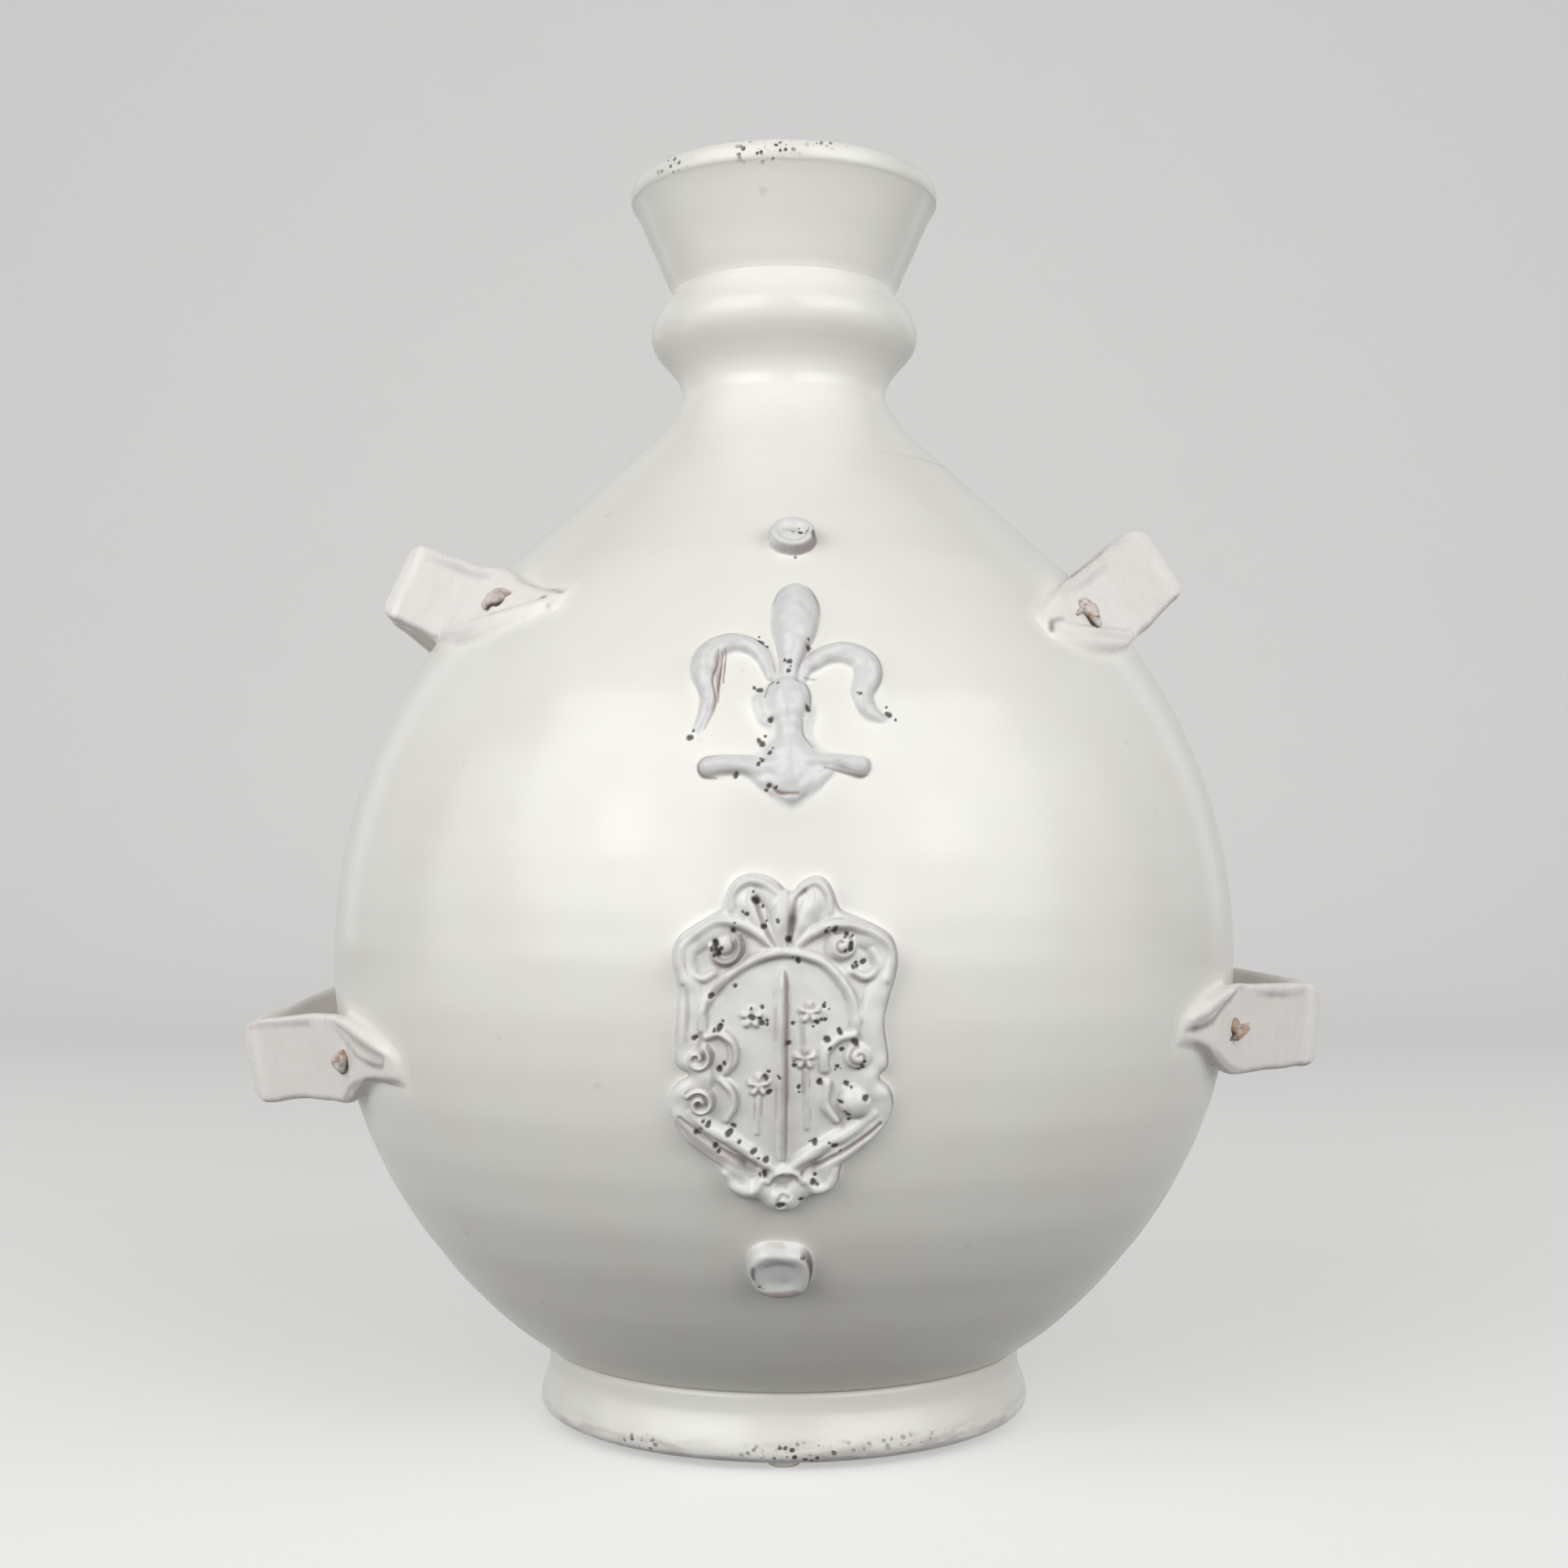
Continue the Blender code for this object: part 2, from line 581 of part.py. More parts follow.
def bent_rod(name, points, radius, group, finish=None):
    """Tapered round rod along the wall, with round ends left flat."""
    data = bpy.data.curves.new(name, "CURVE")
    data.dimensions = "3D"
    data.resolution_u = 3
    data.bevel_depth = radius
    data.bevel_resolution = 2
    data.use_fill_caps = True
    spline = smooth_spline(data, len(points))
    for control, (across, along, share) in zip(spline.bezier_points, points):
        control.co = front_frame(across, along)[0]
        control.radius = share
    return curve_piece(name, data, Matrix.Identity(4), group, finish)


def stem_outline(grow):
    """Profile of the lily's stem, its axis running up the wall: knob, stalk and base."""
    knob = KNOB_RADIUS + grow
    base = STEM_BASE_RADIUS + grow
    stalk = min(STALK_RADIUS + grow, knob, base)
    upper = arc(-KNOB_RISE, knob, KNOB_RISE + grow, 90.0, -math.degrees(math.acos(stalk / knob)), KNOB_STEPS)
    lower = arc(STEM_BASE_RISE - STEM_LENGTH, base, STEM_BASE_RISE + grow,
                math.degrees(math.acos(stalk / base)), -90.0, KNOB_STEPS)
    return upper + lower


def petal_outline(grow):
    """Profile of the middle petal, its axis running up the wall: an egg on a thin root."""
    sides = [(share * (PETAL_RADIUS + grow), along * PETAL_LENGTH) for share, along in PETAL_EDGE]
    return [(0.0, PETAL_LENGTH + grow)] + sides + [(0.0, -PETAL_ROOT_DEPTH)]


def lily_turned(name, outline, flatness, group, finish=None):
    """Turned part of the lily, laid up the wall and flattened."""
    piece = turned(name, outline, False, STEM_STEPS, group, finish)
    up_the_wall = Matrix.Rotation(math.radians(-90.0), 4, "X")
    piece.matrix_world = front_matrix(LILY_ACROSS, LILY_ALONG) @ up_the_wall
    piece.scale.y = flatness
    return piece


def lily_stem(name, grow, group, cutters, finish=None):
    """Stem of the lily with its cross bar."""
    stem = lily_turned(name, stem_outline(grow), STEM_HEIGHT / KNOB_RADIUS, group, finish)
    bar_points = [(LILY_ACROSS + share * CROSS_BAR_REACH, LILY_ALONG - CROSS_BAR_DROP, 1.0)
                  for share in (-1.0, -0.5, 0.0, 0.5, 1.0)]
    bar = make_cutter(bent_rod(name + "_cross_bar", bar_points, CROSS_BAR_RADIUS + grow, cutters))
    boolean(stem, bar, "UNION")
    return stem


def make_lily(group, cutters, wall, finish):
    """Lily of four pieces, each cut back from the one it is pressed against."""
    petal_flatness = PETAL_HEIGHT / PETAL_RADIUS
    stem_clearance = make_cutter(lily_stem("clearance_lily_stem", SEAT_GAP, cutters, cutters))
    petal_clearance = make_cutter(lily_turned("clearance_lily_petal", petal_outline(SEAT_GAP), petal_flatness,
                                              cutters))
    stem = lily_stem("lily_stem", 0.0, group, cutters, finish)
    boolean(stem, wall, "DIFFERENCE")
    petal = lily_turned("lily_petal_centre", petal_outline(0.0), petal_flatness, group, finish)
    boolean(petal, stem_clearance, "DIFFERENCE")
    boolean(petal, wall, "DIFFERENCE")
    for name, side in (("lily_petal_left", -1.0), ("lily_petal_right", 1.0)):
        line = [(LILY_ACROSS + side * a * SIDE_PETAL_SPAN, LILY_ALONG + b * SIDE_PETAL_RISE, share)
                for a, b, share in SIDE_PETAL_LINE]
        side_petal = bent_rod(name, line, SIDE_PETAL_RADIUS, group, finish)
        boolean(side_petal, stem_clearance, "DIFFERENCE")
        boolean(side_petal, petal_clearance, "DIFFERENCE")
        boolean(side_petal, wall, "DIFFERENCE")


def crest_place(across_share, down_share, side=1.0):
    """Distances right of the middle and above the belly for a place on the crest."""
    return side * across_share * CREST_HALF_WIDTH, CREST_TOP - down_share * CREST_LENGTH


def crest_prism(name, edge, group, finish=None):
    """Half outline mirrored about the middle and extruded from inside the wall to well outside it."""
    left = [(across, down, -1.0) for across, down in reversed(edge) if across > 0.0]
    shares = [(across, down, 1.0) for across, down in edge] + left
    data = bpy.data.curves.new(name, "CURVE")
    data.dimensions = "2D"
    data.resolution_u = 2
    data.fill_mode = "BOTH"
    data.extrude = 0.5 * BODY_RADIUS
    spline = smooth_spline(data, len(shares))
    spline.use_cyclic_u = True
    for control, (across, down, side) in zip(spline.bezier_points, shares):
        place = front_frame(*crest_place(across, down, side))[0]
        control.co = (place.x, place.z, 0.0)
    standing = Matrix.Translation((0.0, -BODY_RADIUS, 0.0)) @ Matrix.Rotation(math.radians(90.0), 4, "X")
    return curve_piece(name, data, standing, group, finish)


def dome(name, place, radius, height, group):
    """Low dome standing on the wall, used as a cutter."""
    ball = bmesh.new()
    bmesh.ops.create_uvsphere(ball, u_segments=DOME_STEPS, v_segments=DOME_STEPS // 2, radius=radius)
    bmesh.ops.scale(ball, verts=ball.verts, vec=(1.0, 1.0, height / radius))
    mesh = bpy.data.meshes.new(name)
    ball.to_mesh(mesh)
    ball.free()
    piece = add_object(name, mesh, group)
    piece.matrix_world = front_matrix(*place)
    return make_cutter(piece)


def make_crest(group, cutters, wall, wall_outline, finish):
    """Press-moulded cartouche: scrolled plate, sunk field, staff, volutes and a knob at its foot."""
    face = make_cutter(turned("crest_face", offset(wall_outline, CREST_HEIGHT), False, TURN_STEPS,
                              cutters))
    field_floor = make_cutter(turned("crest_field_floor", offset(wall_outline, CREST_FIELD_HEIGHT), False,
                                     TURN_STEPS, cutters))
    field = make_cutter(crest_prism("crest_field", CREST_FIELD_EDGE, cutters))
    boolean(field, field_floor, "DIFFERENCE")
    crest = crest_prism("crest", CREST_EDGE, group, finish)
    boolean(crest, face, "INTERSECT")
    boolean(crest, field, "DIFFERENCE")
    staff_top = crest_place(*CREST_FIELD_EDGE[0])[1]
    staff_points = [(0.0, staff_top - share * CREST_STAFF_LENGTH, 1.0) for share in (0.0, 0.5, 1.0)]
    raised = [make_cutter(bent_rod("crest_staff", staff_points, CREST_STAFF_RADIUS, cutters))]
    knob_place = (0.0, CREST_TOP - CREST_LENGTH + CREST_KNOB_RADIUS)
    raised.append(dome("crest_knob", knob_place, CREST_KNOB_RADIUS, CREST_VOLUTE_HEIGHT, cutters))
    for index, shares in enumerate(CREST_VOLUTES):
        for side, label in ((-1.0, "left"), (1.0, "right")):
            raised.append(dome("crest_volute_%d_%s" % (index, label), crest_place(*shares, side),
                               CREST_VOLUTE_RADIUS, CREST_VOLUTE_HEIGHT, cutters))
    for shape in raised:
        boolean(crest, shape, "UNION")
    boolean(crest, wall, "DIFFERENCE")


def make_pads(group, finish):
    """Thin round pads on the foot's stand."""
    ring_radius = FOOT_BORE_RADIUS + 0.5 * FOOT_STAND_WIDTH
    thickness = PAD_HEIGHT - SEAT_GAP
    for name, azimuth in PAD_AZIMUTHS.items():
        disc = bmesh.new()
        bmesh.ops.create_cone(disc, cap_ends=True, segments=STUD_STEPS, radius1=PAD_RADIUS,
                              radius2=PAD_RADIUS, depth=thickness)
        mesh = bpy.data.meshes.new(name)
        disc.to_mesh(mesh)
        disc.free()
        shade_round(mesh)
        pad = add_object(name, mesh, group, finish)
        turn = math.radians(azimuth)
        pad.location = (ring_radius * math.sin(turn), -ring_radius * math.cos(turn), 0.5 * thickness)


def main():
    for old in list(bpy.data.objects):
        bpy.data.objects.remove(old)
    vase = bpy.data.collections.new("ceramic_vase")
    cutters = bpy.data.collections.new("cutters")
    bpy.context.scene.collection.children.link(vase)
    bpy.context.scene.collection.children.link(cutters)

    finishes = {name: material(name, *values) for name, values in FINISHES.items()}
    relief = finishes["relief_glaze"]

    turned("foot_ring", foot_outline(), True, TURN_STEPS, vase, finishes["foot_glaze"])
    turned("body", body_outline(), False, TURN_STEPS, vase, finishes["ivory_glaze"])
    turned("neck", neck_outline(), True, TURN_STEPS, vase, finishes["neck_glaze"])
    turned("mouth", mouth_outline(), True, TURN_STEPS, vase, finishes["mouth_glaze"])

    neck_side = neck_outer()
    wall_outline = [(0.0, neck_side[0][1])] + neck_side + body_outer() + [(0.0, BODY_BASE)]
    wall = make_cutter(turned("wall_clearance", offset(wall_outline, SEAT_GAP), False, TURN_STEPS, cutters))

    make_loops(vase, cutters, wall, finishes["strap_glaze"], finishes["peg_clay"])
    make_button("button_top", (BUTTON_TOP_ACROSS, BUTTON_TOP_ALONG), BUTTON_TOP_RADIUS, BUTTON_TOP_HEIGHT,
                wall, vase, relief)
    make_button("button_bottom", (BUTTON_BOTTOM_ACROSS, BUTTON_BOTTOM_ALONG), BUTTON_BOTTOM_RADIUS,
                BUTTON_BOTTOM_HEIGHT, wall, vase, relief)
    make_lily(vase, cutters, wall, relief)
    make_crest(vase, cutters, wall, wall_outline, finishes["crest_glaze"])
    make_pads(vase, finishes["pad_gel"])


main()
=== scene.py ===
"""Looks of the ceramic vase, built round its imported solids.

Sizes are in millimetres and become metres where a mesh is made. +Z is up and the front is to -Y.
Places on the wall are azimuth (0 the front, 90 the right side) and height, or on the front the distance
across to the right and the distance up the wall from the belly.
"""
import math

import bpy
import numpy as np
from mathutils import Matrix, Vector
from mathutils.kdtree import KDTree


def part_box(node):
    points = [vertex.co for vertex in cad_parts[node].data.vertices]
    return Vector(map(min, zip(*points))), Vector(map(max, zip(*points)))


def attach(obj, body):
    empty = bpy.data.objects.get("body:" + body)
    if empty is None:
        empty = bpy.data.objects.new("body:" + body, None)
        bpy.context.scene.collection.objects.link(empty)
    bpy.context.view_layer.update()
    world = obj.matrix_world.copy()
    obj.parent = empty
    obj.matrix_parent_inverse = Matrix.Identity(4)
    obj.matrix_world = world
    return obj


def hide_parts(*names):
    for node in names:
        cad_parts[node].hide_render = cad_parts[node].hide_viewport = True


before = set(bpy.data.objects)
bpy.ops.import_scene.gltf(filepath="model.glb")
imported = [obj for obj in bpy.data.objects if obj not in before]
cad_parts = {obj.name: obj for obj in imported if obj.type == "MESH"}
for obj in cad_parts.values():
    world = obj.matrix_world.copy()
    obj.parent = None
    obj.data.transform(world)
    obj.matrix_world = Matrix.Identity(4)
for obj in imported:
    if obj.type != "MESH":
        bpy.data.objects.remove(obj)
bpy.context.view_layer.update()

MM = 0.001
ROOT = "root"

# Globe, as in the solids
BODY_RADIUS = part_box("body")[1].x / MM
BODY_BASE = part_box("body")[0].z / MM
BODY_LOWER_DEPTH = 144.4
BODY_UPPER_RISE = 157.0
BODY_SEAM_RADIUS = 72.5
BELLY = BODY_BASE + BODY_LOWER_DEPTH * math.sqrt(1.0 - (BODY_SEAM_RADIUS / BODY_RADIUS) ** 2)
SHOULDER_LATITUDE = 49.7
BODY_FLOOR = BODY_BASE + 9.0
BODY_WALL = 7.0
FLOOR_LATITUDE = -57.0
NECK_SEAM_RADIUS = 56.0
SHOULDER_OUT = np.array((0.679, 0.734))

# Neck and mouth: points of the outer side, top down, and of the bore, bottom up
NOTCH = (36.7, 362.0)
NOTCH_DEPTH = 5.9
NECK_LINE = (NOTCH, (37.1, 360.7), (38.5, 358.9), (40.6, 356.8), (42.7, 353.2), (43.9, 348.7), (43.3, 344.8),
             (41.2, 341.5), (38.2, 338.2), (35.4, 334.6), (33.9, 331.2), (33.5, 328.2), (34.3, 324.9),
             (36.7, 320.8), (41.0, 315.3), (46.5, 309.8))
MOUTH_LINE = ((47.2, 398.6), (48.8, 398.1), (49.9, 396.7), (50.4, 394.8), (50.5, 392.9), (50.2, 391.8),
              (49.5, 390.8), (47.6, 387.1), (43.3, 377.6), (39.1, 367.9), (37.3, 364.0), NOTCH)
BORE_LINE = ((42.5, 304.2), (35.6, 311.0), (30.5, 316.5), (27.9, 322.0), (27.5, 330.0), (28.3, 345.0),
             (29.8, 358.0), (31.6, 366.0), (37.0, 377.6), (41.2, 386.6), (43.6, 392.4), (44.0, 396.4),
             (45.3, 398.2))

# Foot ring: outer side from its seam under the globe down to the stand, then the bore, and its hidden top
FOOT_SEAM = (74.3, 21.9)
FOOT_LINE = (FOOT_SEAM, (74.8, 21.6), (75.15, 20.9), (75.25, 19.8), (75.2, 17.8), (75.3, 15.8), (76.0, 13.4),
             (77.1, 10.4), (77.8, 7.6), (77.9, 5.6), (77.3, 3.9), (75.6, 2.7), (73.6, 2.2), (66.0, 2.0),
             (62.6, 2.3), (61.5, 3.4), (61.4, 8.0), (61.2, 20.0))
FOOT_TOP = ((60.6, 21.6), (60.3, 22.6), (71.0, 22.7))
# Clay smeared down from the globe on the foot ring: how far it stands out, and where it starts
SMEAR = 1.5
SMEAR_TOP = 58.0

# Spacing of the wall's rows and columns, with the angles of its front and of the search for columns
ROW = 1.5
FINE_ROW = 0.6
BORE_ROW = 1.0
COLUMN = 2.8
COLUMN_SEARCH = 0.02
FRONT_COLUMN = 0.8
FRONT_REACH = 17.0
FRONT_FADE = 6.0
WALL_SHARP = 60.0


def srgb(red, green, blue):
    """Linear colour of an sRGB one given from 0 to 255."""
    shares = np.array((red, green, blue)) / 255.0
    linear = np.where(shares <= 0.04045, shares / 12.92, ((shares + 0.055) / 1.055) ** 2.4)
    return (*linear.tolist(), 1.0)


def smooth(value):
    """Smooth step of a value held between 0 and 1."""
    held = np.clip(value, 0.0, 1.0)
    return held * held * (3.0 - 2.0 * held)


def spline(points, spacing):
    """Points along a smooth curve through the given ones, in any number of dimensions."""
    given = np.asarray(points, float)
    ends = np.vstack([2.0 * given[0] - given[1], given, 2.0 * given[-1] - given[-2]])
    made = []
    for before, start, end, after in zip(ends, ends[1:], ends[2:], ends[3:]):
        steps = max(2, int(math.ceil(np.linalg.norm((end - start)[:3]) / spacing)))
        share = (np.arange(steps) / steps)[:, None]
        made.append(0.5 * (2.0 * start + (end - before) * share
                           + (2.0 * before - 5.0 * start + 4.0 * end - after) * share ** 2
                           + (3.0 * start - before - 3.0 * end + after) * share ** 3))
    return np.vstack(made + [given[-1:]])


def globe_arc(start, end, spacing, inset=0.0):
    """Profile of the globe between two latitudes, as radius and height."""
    steps = int(math.ceil(math.radians(abs(end - start)) * BODY_RADIUS / spacing))
    latitude = np.radians(np.linspace(start, end, steps + 1))
    rise = np.where(latitude > 0.0, BODY_UPPER_RISE, BODY_LOWER_DEPTH) - inset
    return np.stack([(BODY_RADIUS - inset) * np.cos(latitude), BELLY + rise * np.sin(latitude)], 1)


def throwing(azimuth, height):
    """How far the thrown wall stands out of its true round, in radians and millimetres."""
    rings = 0.05 * np.sin(height / 2.3 + 0.8 * np.sin(azimuth)) + 0.04 * np.sin(height / 5.1 + azimuth)
    oval = 0.12 * np.cos(2.0 * azimuth + 0.7) * np.sin(height / 120.0)
    return rings + oval


def on_wall(across, along, rise):
    """Points over the globe's front, from distances across, up the wall and out of it."""
    upward = np.where(along > 0.0, BODY_UPPER_RISE, BODY_LOWER_DEPTH)
    latitude = 2.0 * along / (BODY_RADIUS + upward)
    azimuth = across / (BODY_RADIUS * np.cos(latitude))
    return over_globe(latitude, azimuth, rise)


def over_globe(latitude, azimuth, rise):
    """Points over the globe, from latitude and azimuth in radians and the distance out of the wall."""
    upward = np.where(latitude > 0.0, BODY_UPPER_RISE, BODY_LOWER_DEPTH)
    height = BELLY + upward * np.sin(latitude)
    radius = BODY_RADIUS * np.cos(latitude)
    lean = np.arctan2(BODY_RADIUS * np.sin(latitude), upward * np.cos(latitude))
    out = rise + throwing(azimuth, height)
    radius = radius + out * np.cos(lean)
    return np.stack([radius * np.sin(azimuth), -radius * np.cos(azimuth), height + out * np.sin(lean)], -1)


def add_piece(name, points, faces, finish, node, marks=None, sharp=0.0):
    """Piece of the vase as one mesh, with its marks of wear and painted shade as point attributes."""
    mesh = bpy.data.meshes.new(name)
    mesh.from_pydata((np.asarray(points) * MM).tolist(), [], faces)
    mesh.shade_smooth()
    if sharp:
        mesh.set_sharp_from_angle(angle=math.radians(sharp))
    for mark, values in (marks or {}).items():
        layer = mesh.attributes.new(mark, "FLOAT", "POINT")
        layer.data.foreach_set("value", np.asarray(values, np.float32).ravel())
    mesh.materials.append(finish)
    piece = bpy.data.objects.new(name, mesh)
    bpy.context.scene.collection.objects.link(piece)
    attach(piece, ROOT)
    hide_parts(node)
    return piece


def columns():
    """Azimuths of the wall's columns, closer together on the front."""
    azimuth = np.radians(np.arange(-180.0, 180.0, COLUMN_SEARCH))
    away = np.degrees(np.abs(azimuth)) - FRONT_REACH
    gap = FRONT_COLUMN + (COLUMN - FRONT_COLUMN) * smooth(away / FRONT_FADE)
    count = np.cumsum(BODY_RADIUS * math.radians(COLUMN_SEARCH) / gap)
    total = int(round(count[-1]))
    return np.interp(np.arange(total) / total * count[-1], count, azimuth)


def lathe(name, profile, azimuth, poles, finish, node, marks_at):
    """Closed turned piece: rows of a profile joined round, then to the axis or to each other."""
    rows, around = len(profile), len(azimuth)
    radius = profile[:, 0][:, None]
    height = np.repeat(profile[:, 1][:, None], around, 1)
    turn = np.repeat(azimuth[None, :], rows, 0)
    along = np.gradient(profile, axis=0)
    along /= np.linalg.norm(along, axis=1)[:, None]
    out = throwing(turn, height)
    radius = radius + out * -along[:, 1][:, None]
    height = height + out * along[:, 0][:, None]
    points = np.stack([radius * np.sin(turn), -radius * np.cos(turn), height], -1).reshape(-1, 3)
    index = np.arange(rows * around).reshape(rows, around)
    right = np.roll(index, -1, axis=1)
    last = rows if poles is None else rows - 1
    below = np.roll(index, -1, axis=0)
    right_below = np.roll(right, -1, axis=0)
    quads = np.stack([index, below, right_below, right], -1)[:last].reshape(-1, 4)
    faces = quads.tolist()
    if poles is not None:
        top, bottom = len(points), len(points) + 1
        points = np.vstack([points, [(0.0, 0.0, poles[0]), (0.0, 0.0, poles[1])]])
        faces += [(top, a, b) for a, b in zip(index[0].tolist(), right[0].tolist())]
        faces += [(bottom, b, a) for a, b in zip(index[-1].tolist(), right[-1].tolist())]
    return add_piece(name, points, faces, finish, node, marks_at(points), WALL_SHARP)


# Relief: grid step, its thin skirt over the wall, its hidden back and the margin round it
GRID = 0.25
SKIRT_SOFT = 0.35
SKIRT_SLOPE = 0.5
SKIRT_SINK = 0.03
SKIRT_CUT = -0.027
BACK_DEPTH = 0.9
MARGIN = 7.0
MARKS = ("tone", "rub", "hollow", "line", "edge", "crease", "pit", "halo")
OUTLINE_STEP = 1.0
STROKE_STEP = 0.6
STROKE_POWER = 0.8
PIT_SPREAD = 1.3
PIT_DEPTH = 0.9


def blurred(values, radius):
    """Values smoothed over a radius given in grid steps."""
    reach = max(1, int(math.ceil(2.5 * radius)))
    weights = np.exp(-0.5 * (np.arange(-reach, reach + 1) / radius) ** 2)
    weights /= weights.sum()
    for axis in (0, 1):
        padded = np.pad(values, [(reach, reach) if a == axis else (0, 0) for a in (0, 1)], mode="edge")
        length = values.shape[axis]
        values = sum(w * np.take(padded, range(k, k + length), axis=axis) for k, w in enumerate(weights))
    return values


def grain(shape, cell, seed):
    """Smooth seeded noise from -1 to 1 on a grid, with features about a cell of grid steps wide."""
    rng = np.random.default_rng(seed)
    coarse = rng.uniform(-1.0, 1.0, (int(shape[0] / cell) + 3, int(shape[1] / cell) + 3))
    for axis in (0, 1):
        place = np.arange(shape[axis]) / cell
        whole = place.astype(int)
        share = smooth(place - whole)
        share = share[:, None] if axis == 0 else share[None, :]
        coarse = (np.take(coarse, whole, axis=axis) * (1.0 - share)
                  + np.take(coarse, whole + 1, axis=axis) * share)
    return coarse


class Sketch:
    """Heights over a patch of the front wall on a fine grid, with the marks of wear and painted shade that go
    with them.
    """

    def __init__(self, low, high):
        self.low = (low[0] - MARGIN, low[1] - MARGIN)
        self.across, self.along = np.meshgrid(np.arange(self.low[0], high[0] + MARGIN, GRID),
                                              np.arange(self.low[1], high[1] + MARGIN, GRID))
        self.height = np.full(self.across.shape, -MARGIN)
        self.marks = {mark: np.zeros(self.across.shape) for mark in MARKS}
        self.rng = np.random.default_rng(7)

    def window(self, line, reach):
        """Slices of the grid round a line."""
        spans = []
        for axis, count in ((1, self.across.shape[0]), (0, self.across.shape[1])):
            start = int((line[:, axis].min() - reach - self.low[axis]) / GRID)
            stop = int((line[:, axis].max() + reach - self.low[axis]) / GRID) + 2
            spans.append(slice(max(start, 0), min(max(stop, 0), count)))
        return tuple(spans)

    def near(self, line, reach):
        """Window round a line of (across, along, radius, height), with the closest share and sizes there."""
        spot = self.window(line, reach + line[:, 2].max())
        across, along = self.across[spot], self.along[spot]
        share = np.full(across.shape, np.inf)
        radius = np.ones(across.shape)
        height = np.zeros(across.shape)
        for start, end in zip(line, line[1:]):
            way = end[:2] - start[:2]
            length = max(float(way @ way), 1e-9)
            place = np.clip(((across - start[0]) * way[0] + (along - start[1]) * way[1]) / length, 0.0, 1.0)
            gap = np.hypot(across - start[0] - place * way[0], along - start[1] - place * way[1])
            here = start[2] + (end[2] - start[2]) * place
            closer = gap / here < share
            share = np.where(closer, gap / here, share)
            radius = np.where(closer, here, radius)
            height = np.where(closer, start[3] + (end[3] - start[3]) * place, height)
        return spot, share, radius, height

    def body(self, points, soft=0.8, power=0.55, lump=0.0, seed=1, slope=SKIRT_SLOPE):
        """Rounded rope of clay on the wall, joined to what is there with a soft fillet."""
        line = spline(points, 0.7)
        spot, share, radius, height = self.near(line, 2.0 * MARGIN)
        inside = np.maximum(1.0 - share ** 2, 0.0) ** power * height
        raw = np.where(share < 1.0, inside, (1.0 - share) * radius * slope)
        if lump:
            raw = raw + lump * grain(raw.shape, 9.0, seed) * (share < 1.0) * (1.0 - share ** 2)
        there = self.height[spot]
        mixed = np.maximum(soft - np.abs(raw - there), 0.0) / soft
        self.height[spot] = np.maximum(raw, there) + mixed ** 2 * soft * 0.25

    def stroke(self, points):
        """Window round a smooth line and the rounded ridge along it."""
        spot, share, _, height = self.near(spline(points, STROKE_STEP), 0.5)
        return spot, np.maximum(1.0 - share ** 2, 0.0) ** STROKE_POWER * height

    def add_mark(self, mark, spot, values):
        """Raises a mark to the given values where it is lower."""
        self.marks[mark][spot] = np.maximum(self.marks[mark][spot], values)

    def groove(self, points, strength=1.0):
        """Pressed or torn line, cut into the clay and marked."""
        spot, depth = self.stroke(points)
        self.height[spot] -= depth
        deepest = max(point[3] for point in points)
        self.add_mark("crease", spot, strength * depth / deepest)

    def stain(self, points, mark="crease", strength=0.5):
        """Tint of bare clay along a line, without a cut."""
        spot, depth = self.stroke(points)
        self.add_mark(mark, spot, strength * np.clip(depth, 0.0, 1.0))

    def pits(self, places):
        """Ragged pinholes in the glaze, given as across, along and radius, some with smaller ones beside."""
        for across, along, given in places:
            radius = PIT_SPREAD * given
            holes = [(across, along, radius)]
            for _ in range(int(self.rng.integers(0, 3))):
                turn = self.rng.uniform(0.0, 2.0 * math.pi)
                reach = radius * self.rng.uniform(1.5, 3.0)
                holes.append((across + reach * math.cos(turn), along + reach * math.sin(turn),
                              radius * self.rng.uniform(0.4, 0.75)))
            for x, y, size in holes:
                turn = self.rng.uniform(0.0, math.pi)
                reach = size * self.rng.uniform(0.2, 1.0)
                line = np.array([(x, y, size, 1.0),
                                 (x + reach * math.cos(turn), y + reach * math.sin(turn), 0.8 * size, 1.0)])
                spot, share, _, _ = self.near(line, 0.3)
                hole = smooth((1.25 - share) / 0.6)
                self.height[spot] -= PIT_DEPTH * size * hole
                self.add_mark("pit", spot, hole)

